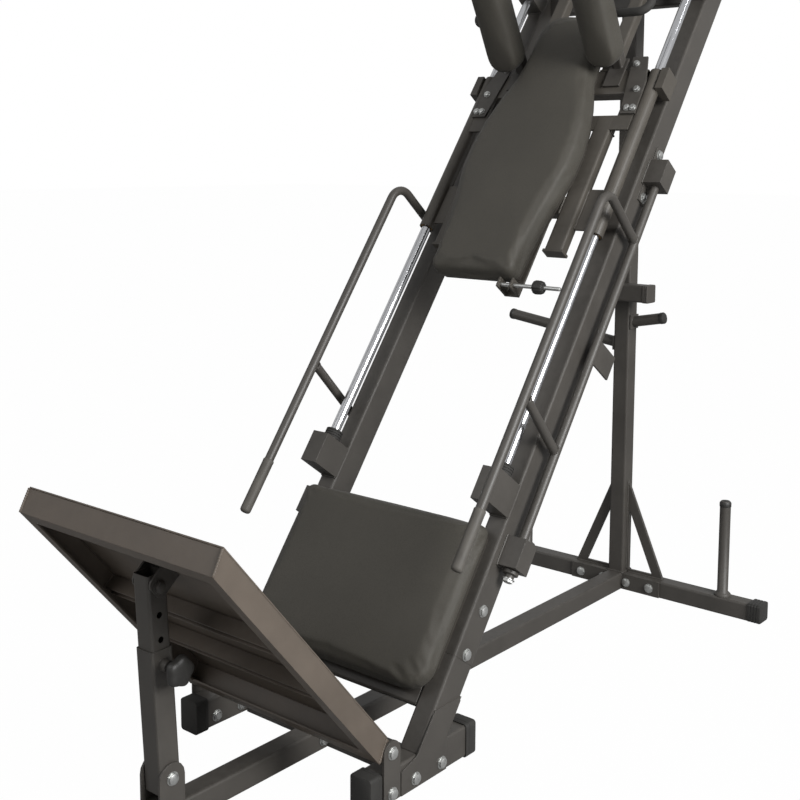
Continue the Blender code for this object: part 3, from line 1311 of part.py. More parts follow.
def build_foot_plate(hinge):
    """The frame is one folded section run round a rectangle, with its end faces leaning."""
    top = PLATE_TOP_M + PLATE_SHEET + GAP
    bottom = PLATE_TOP_M + PLATE_DEPTH
    low_p, high_p = PLATE_LOW_P, PLATE_HIGH_P

    def corner_ring(inset, m):
        shift = PLATE_SHEAR * (m - PLATE_TOP_M)
        low, high = low_p + inset + shift, high_p - inset + shift
        half = PLATE_HALF - inset
        return [Vector((-half, low, m)), Vector((half, low, m)), Vector((half, high, m)), Vector((-half, high, m))]

    bm = bmesh.new()
    fold, flange = PLATE_FOLD, PLATE_FLANGE
    section = [(0, top), (0, bottom), (flange, bottom), (flange, bottom - fold), (fold, bottom - fold), (fold, top)]
    rings = [[bm.verts.new(p) for p in corner_ring(inset, m)] for inset, m in section]
    for i in range(len(rings)):
        low, high = rings[i], rings[(i + 1) % len(rings)]
        for k in range(4):
            n = (k + 1) % 4
            bm.faces.new((low[k], low[n], high[n], high[k]))
    frame = add_piece("foot_plate_frame", bm, "grey_paint", hinge)

    outer = PLATE_HALF - GAP
    low_line = low_p + PLATE_SHEAR * (bottom - PLATE_TOP_M) + fold / 2
    high_line = low_p + PLATE_SHEAR * (top - PLATE_TOP_M) + fold / 2
    arc = [Vector((-EAR_RADIUS * math.sin(math.pi * k / 8), -EAR_RADIUS * math.cos(math.pi * k / 8)))
           for k in range(1, 9)]
    ear = [Vector((high_line, top + GAP))] + arc + [Vector((low_line, bottom - GAP))]
    bm = bmesh.new()
    for side, _ in SIDES:

        def lift(point, level, side=side):
            return Vector((side * level, point.x, point.y))

        plate(bm, ear, lift, outer - EAR_THICK, outer)
    join(frame, bm)

    bm = bmesh.new()
    half = PLATE_HALF - PLATE_FOLD + WELD
    wide, deep, skin = PLATE_RIB_WIDTH / 2, PLATE_RIB_DEPTH, PLATE_RIB_WALL
    channel = [(-wide, 0), (wide, 0), (wide, deep), (wide - skin, deep), (wide - skin, skin),
               (skin - wide, skin), (skin - wide, deep), (-wide, deep)]
    for p in PLATE_RIB_PS:

        def rib(point, level, p=p):
            return Vector((level, p + point[0], top + 2 * GAP + point[1]))

        plate(bm, channel, rib, -half, half)
    join(frame, bm)
    drill(frame, [((side * (PLATE_HALF + 0.002), 0, 0), (side * (PLATE_HALF - EAR_THICK - 0.002), 0, 0),
                   HINGE_PIN_RADIUS + HOLE_CLEARANCE) for side, _ in SIDES])

    bm = bmesh.new()
    block(bm, (-PLATE_HALF, low_p, PLATE_TOP_M), (PLATE_HALF, high_p, PLATE_TOP_M + PLATE_SHEET))
    add_piece("foot_plate_sheet", bm, "grey_paint", hinge)

    inner = INNER_TUBE / 2 + SLIDE_CLEARANCE
    ear_half, ear_low = TOP_EAR_HALF, STRUT_TOP_M + TOP_EAR_BELOW
    first, last = STRUT_TOP_P - ear_half, STRUT_TOP_P + ear_half
    bm = bmesh.new()
    block(bm, (-inner - TOP_EAR, first, top), (inner + TOP_EAR, last, top + TOP_EAR))
    bracket = add_piece("strut_top_bracket", bm, "black_paint", hinge)
    outline = rounded_polygon([(first + GAP, top + GAP), (last - GAP, top + GAP), (last - GAP, ear_low),
                               (first + GAP, ear_low)], [0, 0, ear_half * 0.6, ear_half * 0.6], 4)
    bm = bmesh.new()
    for side, _ in SIDES:

        def lift(point, level, side=side):
            return Vector((side * level, point[0], point[1]))

        plate(bm, outline, lift, inner, inner + TOP_EAR - GAP)
    join(bracket, bm)
    seat = inner + TOP_EAR
    drill(bracket, [((seat + 0.002, STRUT_TOP_P, STRUT_TOP_M), (-seat - 0.002, STRUT_TOP_P, STRUT_TOP_M),
                     BOLT_RADIUS + HOLE_CLEARANCE)])
    bm = bmesh.new()
    bolt(bm, (seat, STRUT_TOP_P, STRUT_TOP_M), X_AXIS, 2 * seat)
    add_piece("strut_top_bolt", bm, "zinc", hinge)


def build_hinge_brackets():
    """Brackets on the feet, each with the pin on which the foot plate turns."""
    inner = RAIL_OUTER_X + GAP
    outer = inner + HINGE_BRACKET
    half = HINGE_BRACKET_HALF
    for side, word in SIDES:
        top = [Vector((half * math.cos(math.pi * k / 10), HINGE_Z + half * math.sin(math.pi * k / 10)))
               for k in range(11)]
        outline = top + [Vector((-half, HINGE_BRACKET_LOW_Z)), Vector((half, HINGE_BRACKET_LOW_Z))]

        def lift(point, level, side=side):
            return Vector((side * level, HINGE_Y + point.x, point.y))

        bm = bmesh.new()
        plate(bm, outline, lift, inner, outer)
        bracket = add_piece(f"hinge_bracket_{word}", bm, "black_paint")
        bm = bmesh.new()
        pin_grip = HINGE_BRACKET + 2 * GAP + EAR_THICK
        stud(bm, (side * outer, HINGE_Y, HINGE_Z), side * X_AXIS, pin_grip, HINGE_PIN_RADIUS)
        stud(bm, (side * outer, HINGE_Y, FOOT_BOLT_Z), side * X_AXIS, HINGE_BRACKET + GAP + TUBE)
        join(bracket, bm)


def build_strut(extension, sleeve_axis, reach):
    """A saddle bracket over the extension holds the sleeve, in which the inner tube slides."""
    half = STRUT_BRACKET_HALF
    inner = TUBE / 2 + GAP
    outer = inner + STRUT_BRACKET
    web_low = TUBE + GAP
    bm = bmesh.new()
    block(bm, (-outer + GAP, STRUT_FOOT_Y - half + GAP, web_low),
          (outer - GAP, STRUT_FOOT_Y + half - GAP, web_low + STRUT_BRACKET))
    bracket = add_piece("strut_foot_bracket", bm, "black_paint")
    top = [Vector((half * math.cos(math.pi * k / 8), STRUT_FOOT_Z + half * math.sin(math.pi * k / 8)))
           for k in range(9)]
    outline = top + [Vector((-half, STRUT_BRACKET_LOW_Z)), Vector((half, STRUT_BRACKET_LOW_Z))]
    bm = bmesh.new()
    for side, _ in SIDES:

        def lift(point, level, side=side):
            return Vector((side * level, STRUT_FOOT_Y + point.x, point.y))

        plate(bm, outline, lift, inner, outer)
    join(bracket, bm)
    grip = 2 * outer
    low_seat = (outer, STRUT_FOOT_Y, BEAM_Z)
    high_seat = (outer, STRUT_FOOT_Y, STRUT_FOOT_Z)
    bm = bmesh.new()
    stud(bm, low_seat, X_AXIS, grip, fixed=True)
    join(bracket, bm)
    drill(bracket, [bolt_hole(high_seat, X_AXIS, grip)])
    drill(extension, [bolt_hole(low_seat, X_AXIS, grip)])
    bm = bmesh.new()
    bolt(bm, high_seat, X_AXIS, grip)
    add_piece("strut_foot_bolt", bm, "zinc")

    wall = TUBE / 2
    bm = bmesh.new()
    box_tube(bm, (0, 0, -SLEEVE_BELOW), (0, 0, SLEEVE_TOP), TUBE, TUBE, X_AXIS)
    sleeve = add_piece("strut_sleeve", bm, "black_paint", sleeve_axis)
    bm = bmesh.new()
    bar(bm, (wall - WELD, 0, PIN_HEIGHT), (wall + PIN_BOSS_LENGTH, 0, PIN_HEIGHT), round_outline(PIN_BOSS_RADIUS),
        Y_AXIS)
    join(sleeve, bm)
    drill(sleeve, [((wall + 0.01, 0, 0), (-wall - 0.01, 0, 0), BOLT_RADIUS + HOLE_CLEARANCE),
                   ((wall + PIN_BOSS_LENGTH + 0.01, 0, PIN_HEIGHT), (0, 0, PIN_HEIGHT), PIN_RADIUS + HOLE_CLEARANCE)])

    bm = bmesh.new()
    box_tube(bm, (0, 0, INNER_LOW), (0, 0, reach + INNER_BEYOND), INNER_TUBE, INNER_TUBE, X_AXIS)
    tube = add_piece("strut_inner_tube", bm, "black_paint", sleeve_axis)
    side = INNER_TUBE / 2 + 0.005
    holes = [((side, 0, reach), (-side, 0, reach), BOLT_RADIUS + TOP_PIVOT_CLEARANCE)]
    for k in PIN_HOLES:
        z = PIN_HEIGHT + k * PIN_PITCH
        holes.append(((side, 0, z), (0, 0, z), PIN_RADIUS + HOLE_CLEARANCE))
    drill(tube, holes)


def build_pin(sleeve_axis):
    """The spring pin of the strut, drawn just clear of the inner tube."""
    sides = 40
    rod = round_outline(PIN_RADIUS, sides)
    neck = round_outline(PIN_RADIUS + 0.004, sides)
    lobes = lobed_outline(PIN_KNOB_RADIUS, PIN_LOBES, PIN_LOBE_DEPTH, sides)
    rim = lobed_outline(PIN_KNOB_RADIUS - 0.003, PIN_LOBES, PIN_LOBE_DEPTH, sides)
    tip = INNER_TUBE / 2 + GAP
    boss_end = TUBE / 2 + PIN_BOSS_LENGTH + PIN_TRAVEL
    bm = bmesh.new()
    turned(bm, (0, 0, 0), X_AXIS, (
        (tip, rod), (boss_end, rod), (boss_end, neck), (boss_end + PIN_KNOB_NECK, neck),
        (boss_end + PIN_KNOB_NECK, rim), (boss_end + PIN_KNOB_NECK + 0.003, lobes),
        (boss_end + PIN_KNOB_LENGTH - 0.003, lobes), (boss_end + PIN_KNOB_LENGTH, rim)), across=Y_AXIS)
    add_piece("strut_pull_pin", bm, "plastic", sleeve_axis, (0, 0, PIN_HEIGHT))


def main():
    clear_scene()
    rail_frame = add_empty("rail_frame", tilt=RAIL_ANGLE)
    carriage = add_empty("carriage_slide", rail_frame)
    hinge = add_empty("foot_plate_hinge", location=(0, HINGE_Y, HINGE_Z), tilt=math.pi - PLATE_ANGLE)

    top_y = HINGE_Y - STRUT_TOP_P * math.cos(PLATE_ANGLE) - STRUT_TOP_M * math.sin(PLATE_ANGLE)
    top_z = HINGE_Z + STRUT_TOP_P * math.sin(PLATE_ANGLE) - STRUT_TOP_M * math.cos(PLATE_ANGLE)
    lean = math.atan2(STRUT_FOOT_Y - top_y, top_z - STRUT_FOOT_Z)
    reach = math.hypot(STRUT_FOOT_Y - top_y, top_z - STRUT_FOOT_Z)
    sleeve_axis = add_empty("strut_sleeve_hinge", location=(0, STRUT_FOOT_Y, STRUT_FOOT_Z), tilt=lean)

    build_rear_beam()
    extension = build_floor_beams()
    build_post()
    build_post_fittings()
    build_feet()
    build_stubs(rail_frame)
    build_rails(rail_frame)
    build_top_cross()
    build_lower_pad(rail_frame)
    build_handles(rail_frame)
    build_bearings(carriage)
    build_carriage_frame(carriage)
    build_side_plates(carriage)
    build_back_pad(carriage)
    build_shoulders(carriage)
    build_pad_pin(carriage)
    build_foot_plate(hinge)
    build_hinge_brackets()
    build_strut(extension, sleeve_axis, reach)
    build_pin(sleeve_axis)


main()
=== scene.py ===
"""Leg press and hack squat machine: powder coated steel, chromed rods, vinyl pads and zinc bolts."""
import math

import bmesh
import bpy
from bpy.props import FloatProperty, FloatVectorProperty, IntProperty, PointerProperty
from bpy.types import Operator, Panel, PropertyGroup
from mathutils import Matrix, Vector


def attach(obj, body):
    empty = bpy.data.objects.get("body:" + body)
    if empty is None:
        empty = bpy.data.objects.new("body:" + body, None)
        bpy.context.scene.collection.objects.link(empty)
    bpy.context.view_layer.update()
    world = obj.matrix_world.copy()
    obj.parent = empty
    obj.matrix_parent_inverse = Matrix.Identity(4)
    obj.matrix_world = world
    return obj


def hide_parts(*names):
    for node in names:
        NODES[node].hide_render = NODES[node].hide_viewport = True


bl_info = {
    "name": "Leg Press Machine",
    "version": (1, 0, 0),
    "blender": (4, 5, 0),
    "location": "3D View > Sidebar > Leg Press",
    "description": "Finishes and fine pieces of a leg press and hack squat machine",
    "category": "Object",
}

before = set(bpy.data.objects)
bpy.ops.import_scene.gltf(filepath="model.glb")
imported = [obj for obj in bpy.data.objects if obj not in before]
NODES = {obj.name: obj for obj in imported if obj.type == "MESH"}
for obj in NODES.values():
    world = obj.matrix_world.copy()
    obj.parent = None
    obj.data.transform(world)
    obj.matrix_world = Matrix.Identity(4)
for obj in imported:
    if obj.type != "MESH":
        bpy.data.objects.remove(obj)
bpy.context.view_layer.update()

# Sizes that the machine's welded frame sets, in metres. X is across the machine; S is along the inclined rails and
# T is square to them, both from the floor's origin
TUBE = 0.050
GAP = 0.0003
RAIL_ANGLE = math.radians(53.8)
RAIL_X = 0.2615
RAIL_OUTER = RAIL_X + TUBE / 2
RAIL_T = -0.11475
ROD_T = -0.030
PLATE_ANGLE = math.radians(49.6)
HINGE = Vector((0, 0.062, 0.113))
STRUT_FOOT = Vector((0, -0.284, 0.110))
STRUT_LEAN = math.atan2(0.052487, 0.998622)
REAR_Y = 1.480
PIVOT_X, PIVOT_T, PIVOT_LOW = 0.313, -0.125, 0.560
BAR_X, BAR_T = 0.320, 0.080
BAR_LOW, BAR_HIGH, TOP_LEG = 0.505, 1.470, 1.449
GRIP_LOW = 0.499
LOOP_X, LOOP_S, LOOP_T = 0.268, 1.98141, 0.11944
HORN_START, HORN_END, HORN_S, HORN_T = 0.2903, 0.500, 2.245, 0.0128
STRUT_PIN, PAD_PIN = 0.232, (0, 1.217, 0.0215)
STRUT_HEAD = (0.530, 0.030)
# A washer's height, the tread's level and how deep its bars sit in it
WASHER, TREAD, SUNK = 0.0016, -0.0163, 0.0004
SIDES = ((-1, "left"), (1, "right"))
X_AXIS, Y_AXIS, Z_AXIS = Vector((1, 0, 0)), Vector((0, 1, 0)), Vector((0, 0, 1))

# The camera that was fitted to the photograph, and the point that the lamps face
CAMERA_PLACE = (Matrix.Translation((1.7747, -1.6861, 1.3008)) @ Matrix.Rotation(math.radians(40.0), 4, "Z")
                @ Matrix.Rotation(math.radians(90 - 6.54), 4, "X") @ Matrix.Rotation(math.radians(0.22), 4, "Z"))
CAMERA_SHIFT = -0.131
LAMPS_AIM = Vector((0, 0.7, 0.9))

# Frames in which pieces are drawn: the floor, the inclined rails (x, along, lift), the foot plate and the strut
FLOOR = Matrix.Identity(4)
RAILS = Matrix.Rotation(RAIL_ANGLE, 4, "X")
PLATE = Matrix.Translation(HINGE) @ Matrix.Rotation(math.pi - PLATE_ANGLE, 4, "X")
STRUT = Matrix.Translation(STRUT_FOOT) @ Matrix.Rotation(STRUT_LEAN, 4, "X")


def linear(code):
    """An sRGB hex colour as linear RGB."""
    values = [int(code[i:i + 2], 16) / 255 for i in (1, 3, 5)]
    return [v / 12.92 if v <= 0.04045 else ((v + 0.055) / 1.055) ** 2.4 for v in values]


def colour(code, name, text):
    return FloatVectorProperty(name=name, description=text, subtype="COLOR", size=3, min=0, max=1,
                               default=linear(code))


def length(value, name, text):
    return FloatProperty(name=name, description=text, default=value, min=0.0, soft_max=1.0, unit="LENGTH",
                         precision=4)


class FinishColours(PropertyGroup):
    frame_paint: colour("#44413d", "Frame paint", "Black powder coat of the base frame")
    carriage_paint: colour("#4a4640", "Carriage paint", "Powder coat of the carriage and its hardware")
    plate_paint: colour("#5c534a", "Foot plate paint", "Warm dark powder coat of the foot plate")
    vinyl: colour("#423f38", "Vinyl", "Upholstery of the pads")
    rubber: colour("#2b2a28", "Rubber", "Hand loops, feet and bumpers")
    grip: colour("#4f4c47", "Grips", "Rubber grips of the safety handles")
    plastic: colour("#262523", "Plastic", "Knobs and end caps")
    plywood: colour("#2f2b25", "Plywood", "Stained boards behind the pads")
    chrome: colour("#dcdde0", "Chrome", "Guide rods and loading horns")
    zinc: colour("#c3c4c2", "Zinc", "Bolts, washers and nuts")


class PieceSizes(PropertyGroup):
    rod_radius: length(0.0125, "Rod radius", "Radius of the guide rods")
    handle_radius: length(0.0115, "Handle radius", "Radius of the safety handles' tube")
    pivot_radius: length(0.0110, "Pivot radius", "Radius of the handles' pivot tube")
    grip_radius: length(0.0135, "Grip radius", "Radius of the handles' rubber grips")
    loop_radius: length(0.0110, "Hand loop radius", "Radius of the hand loops' bar")
    horn_radius: length(0.0245, "Horn radius", "Radius of the loading horns")
    peg_radius: length(0.0160, "Peg radius", "Radius of the post's side pegs")
    bolt_size: length(0.0114, "Bolt head radius", "Radius across the corners of a bolt head")
    bolt_height: length(0.0066, "Bolt head height", "Height of a bolt head over its washer")
    weld_radius: length(0.0026, "Weld radius", "Radius of a weld bead")
    weld_pitch: length(0.0050, "Weld pitch", "Distance between the ripples of a weld")
    tread_pitch: length(0.030, "Tread pitch", "Distance between the foot plate's raised bars")
    tread_height: length(0.0011, "Tread height", "Height of the foot plate's raised bars")
    pad_voxel: length(0.0055, "Pad cell", "Size of a pad's mesh before it is subdivided")
    pad_swell: length(0.005, "Pad swell", "The furthest that the foam pushes the cover out")
    round_sides: IntProperty(name="Round sides", description="Sides of a round tube", default=40, min=8, max=128)


class StudioSettings(PropertyGroup):
    key_power: FloatProperty(name="Key light", description="Power of the main lamp", default=330.0, min=0.0,
                             unit="POWER")
    fill_power: FloatProperty(name="Fill light", description="Power of the lamp in front", default=55.0, min=0.0,
                              unit="POWER")
    sky: FloatProperty(name="Sky", description="Strength of the even light from all sides", default=0.20, min=0.0)
    gleam: FloatProperty(name="Gleam", description="Strength of the surroundings that the paint mirrors",
                         default=0.50, min=0.0)
    focal: FloatProperty(name="Focal length", description="Focal length of the camera in millimetres", default=54.09,
                         min=10.0)


def colours():
    return bpy.context.scene.leg_press_colours


def sizes():
    return bpy.context.scene.leg_press_sizes


# Materials


def feed(node, inputs):
    """Sets a node's inputs to values, or links them to the sockets that they come from."""
    for key, value in inputs.items():
        if isinstance(value, bpy.types.NodeSocket):
            node.id_data.links.new(value, node.inputs[key])
        else:
            node.inputs[key].default_value = value


def add(tree, kind, inputs=None, **settings):
    """Adds a node with its settings and inputs."""
    made = tree.nodes.new(kind)
    for key, value in settings.items():
        setattr(made, key, value)
    feed(made, inputs or {})
    return made


def bare_tree(owner):
    """The emptied node tree of a new material or world."""
    owner.use_nodes = True
    owner.node_tree.nodes.clear()
    return owner.node_tree


def maths(tree, how, *values):
    return add(tree, "ShaderNodeMath", dict(enumerate(values)), operation=how).outputs[0]


def ramp(tree, value, start, end, low=0.0, high=1.0):
    """Moves a value from one range to another and holds it at the ends."""
    return add(tree, "ShaderNodeMapRange", {"Value": value, 1: start, 2: end, 3: low, 4: high}).outputs[0]


def noise(tree, place, scale, detail, **more):
    """The grey level of a cloudy noise."""
    return add(tree, "ShaderNodeTexNoise", {"Vector": place, "Scale": scale, "Detail": detail, **more}).outputs["Fac"]


def bumped(tree, height, strength, distance, **more):
    """The normal of a surface with small heights; it may start from another normal."""
    return add(tree, "ShaderNodeBump", {"Strength": strength, "Distance": distance, "Height": height,
                                        **more}).outputs["Normal"]


def new_material(name):
    """A material with its tree, its Principled shader and the object's own coordinates."""
    material = bpy.data.materials.new(name)
    tree = bare_tree(material)
    shader = add(tree, "ShaderNodeBsdfPrincipled")
    add(tree, "ShaderNodeOutputMaterial", {"Surface": shader.outputs["BSDF"]})
    place = add(tree, "ShaderNodeTexCoord").outputs["Object"]
    return material, tree, shader, place


def mixed(tree, share, low, high):
    return add(tree, "ShaderNodeMix", {0: share, 6: low, 7: high}, data_type="RGBA").outputs[2]


def shades(base, factor):
    return [min(1.0, c * factor) for c in base] + [1.0]


def tinted(tree, share, base, dark, light):
    """A colour between two shades of a base."""
    return mixed(tree, share, shades(base, dark), shades(base, light))


def powder_coat(name, base, wear=0.5):
    """Polyester powder coat baked on steel: a satin film with orange peel, thinner and rubbed at its edges."""
    material, tree, shader, place = new_material(name)
    # film thickness varies over a hand's width, which shifts the shade a little
    cloud = noise(tree, place, 9.0, 4.0, Roughness=0.6)
    body = tinted(tree, ramp(tree, cloud, 0.3, 0.7), base, 0.86, 1.12)
    # the colour is made paler, in patches, on faces that look up
    facing = add(tree, "ShaderNodeNewGeometry").outputs
    up = add(tree, "ShaderNodeSeparateXYZ", {"Vector": facing["Normal"]}).outputs["Z"]
    up_face_pale_mask = maths(tree, "MULTIPLY", up, noise(tree, place, 60.0, 3.0))
    pale_on_up_faces = mixed(tree, ramp(tree, up_face_pale_mask, 0.2, 1.0, 0.0, 0.22), body, (0.20, 0.19, 0.175, 1))
    # near an edge the rounded normal leaves the face's own normal
    soft = add(tree, "ShaderNodeBevel", {"Radius": 0.0022}, samples=4).outputs["Normal"]
    turned = add(tree, "ShaderNodeVectorMath", {0: soft, 1: facing["True Normal"]}, operation="DOT_PRODUCT")
    edge = ramp(tree, turned.outputs["Value"], 0.985, 0.86)
    patch = ramp(tree, noise(tree, place, 45.0, 5.0, Roughness=0.65), 0.5, 0.72, 0.0, wear)
    worn = maths(tree, "MULTIPLY", edge, patch)
    # orange peel of about 1.2 mm, drawn at 2.5 mm so that it shows
    peel = bumped(tree, noise(tree, place, 400.0, 1.0), 0.25, 0.0002, Normal=soft)
    feed(shader, {"Base Color": mixed(tree, worn, pale_on_up_faces, shades(base, 2.4)), "Normal": peel, "IOR": 1.50,
                  "Roughness": ramp(tree, cloud, 0.3, 0.7, 0.42, 0.52)})
    return material


def polished_chrome(name, base):
    """Hard chrome on ground shafting: a mirror with hairlines and a faint film of oil."""
    material, tree, shader, place = new_material(name)
    film = noise(tree, place, 12.0, 3.0)
    # hairlines run round the shaft, 0.3 mm apart, drawn at 1.5 mm
    lines = noise(tree, place, 650.0, 2.0)
    feed(shader, {"Base Color": tinted(tree, film, base, 0.93, 1.02), "Metallic": 1.0,
                  "Roughness": ramp(tree, lines, 0.3, 0.7, 0.16, 0.26)})
    return material


def zinc_plate(name, base):
    """Bright zinc plate on forged bolts: grey-white metal with a cloudy passivated skin."""
    material, tree, shader, place = new_material(name)
    cloud = noise(tree, place, 160.0, 4.0, Roughness=0.6)
    feed(shader, {"Base Color": tinted(tree, cloud, base, 0.78, 1.08), "Metallic": 0.85,
                  "Roughness": ramp(tree, cloud, 0.3, 0.7, 0.26, 0.42),
                  "Normal": bumped(tree, cloud, 0.2, 0.0001)})
    return material


def upholstery_vinyl(name, base):
    """Calendered PVC upholstery on foam: fine leather grain, dull sheen and shallow rubbed creases."""
    material, tree, shader, place = new_material(name)
    tone = ramp(tree, noise(tree, place, 7.0, 4.0, Roughness=0.55), 0.3, 0.7)
    body = tinted(tree, tone, base, 0.90, 1.08)
    # the grain's cells are about 1 mm across, drawn at 2 mm so that they show
    wander = add(tree, "ShaderNodeTexNoise", {"Vector": place, "Scale": 180.0, "Detail": 2.0})
    bent = add(tree, "ShaderNodeMix", {0: 0.012, 4: place, 5: wander.outputs["Color"]}, data_type="VECTOR")
    cells = add(tree, "ShaderNodeTexVoronoi", {"Vector": bent.outputs[1], "Scale": 520.0}, feature="DISTANCE_TO_EDGE")
    valley = ramp(tree, cells.outputs["Distance"], 0.0, 0.16)
    # long shallow creases where the cover is drawn over the foam
    large = bumped(tree, noise(tree, place, 26.0, 3.0, Distortion=0.8), 0.10, 0.002)
    # the hollows between the grain's cells are painted darker: painted shade in the grain
    feed(shader, {"Base Color": mixed(tree, valley, shades(base, 0.74), body), "IOR": 1.47, "Sheen Weight": 0.05,
                  "Roughness": ramp(tree, valley, 0.0, 1.0, 0.72, 0.54),
                  "Normal": bumped(tree, valley, 0.5, 0.0003, Normal=large)})
    return material


def moulded(name, base, grain, rough, text_scale):
    """Moulded rubber or plastic: an even colour with the mould's fine spark texture and a dry bloom."""
    material, tree, shader, place = new_material(name)
    bloom = noise(tree, place, 22.0, 4.0)
    tone = ramp(tree, bloom, 0.35, 0.7)
    feed(shader, {"Base Color": tinted(tree, tone, base, 0.85, 1.25),
                  "Roughness": ramp(tree, bloom, 0.3, 0.7, rough - 0.06, rough + 0.06),
                  "Normal": bumped(tree, noise(tree, place, text_scale, 2.0), grain, 0.0002)})
    return material


def stained_plywood(name, base):
    """Birch plywood stained dark, with long grain."""
    material, tree, shader, place = new_material(name)
    stretch = add(tree, "ShaderNodeMapping", {"Vector": place, "Scale": (60.0, 4.0, 4.0)})
    grain = noise(tree, stretch.outputs[0], 3.0, 6.0, Distortion=1.2)
    feed(shader, {"Base Color": tinted(tree, grain, base, 0.6, 1.25), "Roughness": 0.75,
                  "Normal": bumped(tree, grain, 0.3, 0.0002)})
    return material


def sintered_bronze(name, base):
    """Oil-filled sintered bronze of the slide bushes: matt yellow-brown metal."""
    material, tree, shader, place = new_material(name)
    pores = noise(tree, place, 700.0, 2.0)
    feed(shader, {"Base Color": tinted(tree, pores, base, 0.7, 1.1), "Metallic": 1.0,
                  "Roughness": 0.42})
    return material


FINISHES = {}


def finish_of(word):
    """The material of a finish, made when it is first asked for."""
    if word not in FINISHES:
        c = colours()
        makers = {
            "black_paint": lambda: powder_coat("satin_black_powder_coat", c.frame_paint),
            "grey_paint": lambda: powder_coat("carriage_powder_coat", c.carriage_paint, 0.4),
            "plate_paint": lambda: powder_coat("foot_plate_powder_coat", c.plate_paint, 0.7),
            "chrome": lambda: polished_chrome("hard_chrome_shafting", c.chrome),
            "zinc": lambda: zinc_plate("bright_zinc_plate", c.zinc),
            "vinyl": lambda: upholstery_vinyl("pvc_upholstery", c.vinyl),
            "rubber": lambda: moulded("moulded_rubber", c.rubber, 0.35, 0.78, 500.0),
            "grip": lambda: moulded("grey_grip_rubber", c.grip, 0.30, 0.62, 500.0),
            "plastic": lambda: moulded("spark_textured_polypropylene", c.plastic, 0.25, 0.5, 350.0),
            "plywood": lambda: stained_plywood("stained_birch_plywood", c.plywood),
            "bronze": lambda: sintered_bronze("sintered_bronze", linear("#a5854f")),
        }
        FINISHES[word] = makers[word]()
    return FINISHES[word]


# Meshes


def new_object(name, data):
    """An object in the scene."""
    obj = bpy.data.objects.new(name, data)
    bpy.context.scene.collection.objects.link(obj)
    return obj


def to_mesh(name, bm):
    mesh = bpy.data.meshes.new(name)
    bm.to_mesh(mesh)
    bm.free()
    return mesh


def skin(bm, rings, closed=False):
    """Joins rings of points into a surface; the first and last are filled unless the surface is closed."""
    made = [[bm.verts.new(p) for p in points] for points in rings]
    pairs = list(zip(made, made[1:])) + ([(made[-1], made[0])] if closed else [])
    for low, high in pairs:
        for i in range(len(low)):
            j = (i + 1) % len(low)
            bm.faces.new((low[i], low[j], high[j], high[i]))
    if not closed:
        bm.faces.new(list(reversed(made[0])))
        bm.faces.new(made[-1])


def across(direction):
    """Two directions square to the given one and to each other."""
    direction = Vector(direction).normalized()
    other = X_AXIS if abs(direction.x) < 0.9 else Y_AXIS
    first = other.cross(direction).normalized()
    return first, direction.cross(first)


def circle(radius, sides):
    return [(radius * math.cos(math.tau * i / sides), radius * math.sin(math.tau * i / sides)) for i in range(sides)]


def rounded_box(width, height, corner, steps=5):
    """The outline of a rectangle with round corners."""
    points = []
    for sx, sy, start in ((1, 1, 0), (-1, 1, 90), (-1, -1, 180), (1, -1, 270)):
        for k in range(steps + 1):
            a = math.radians(start + 90 * k / steps)
            points.append((sx * (width / 2 - corner) + corner * math.cos(a),
                           sy * (height / 2 - corner) + corner * math.sin(a)))
    return points


def turn(bm, start, direction, steps, sides=None, axes=None, closed=False):
    """A solid along a direction, from steps of distance and a radius or an outline."""
    direction = Vector(direction).normalized()
    first, second = axes or across(direction)
    sides = sides or sizes().round_sides
    rings = []
    for distance, shape in steps:
        outline = circle(shape, sides) if isinstance(shape, (int, float)) else shape
        centre = Vector(start) + direction * distance
        rings.append([centre + first * u + second * v for u, v in outline])
    skin(bm, rings, closed)


def block(bm, low, high):
    made = bmesh.ops.create_cube(bm, size=1.0)["verts"]
    low, high = Vector(low), Vector(high)
    for v in made:
        v.co = Vector([(low[i] + high[i]) / 2 + v.co[i] * (high[i] - low[i]) for i in range(3)])


def piece(name, source, finish, body, place=FLOOR, replaces=(), bevel=0.0, sharp=35.0):
    """Puts a finished mesh in place: normals out, smooth but for sharp edges, on its body and with its finish."""
    if isinstance(source, bmesh.types.BMesh):
        bmesh.ops.recalc_face_normals(source, faces=source.faces[:])
        mesh = to_mesh(name, source)
    else:
        mesh = source
    mesh.transform(place)
    mesh.materials.clear()
    mesh.materials.append(finish_of(finish))
    for polygon in mesh.polygons:
        polygon.material_index = 0
    obj = new_object(name, mesh)
    if bevel:
        edge = obj.modifiers.new("Rounded edges", "BEVEL")
        edge.width, edge.segments, edge.limit_method = bevel, 3, "ANGLE"
        edge.angle_limit = math.radians(40)
        obj.data = plain(obj)
    obj.data.shade_smooth()
    obj.data.set_sharp_from_angle(angle=math.radians(sharp))
    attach(obj, body)
    for node in replaces:
        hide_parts(node)
    return obj


def plain(obj):
    """The object's evaluated mesh, with its modifiers removed from the object."""
    graph = bpy.context.evaluated_depsgraph_get()
    mesh = bpy.data.meshes.new_from_object(obj.evaluated_get(graph), depsgraph=graph)
    obj.modifiers.clear()
    return mesh


def spun(name, turns, finish, body, place=FLOOR, replaces=(), sharp=35.0):
    """A piece made of turned solids, each given by what the turn takes."""
    bm = bmesh.new()
    for parts in turns:
        turn(bm, *parts)
    return piece(name, bm, finish, body, place, replaces, sharp=sharp)


# Geometry Nodes


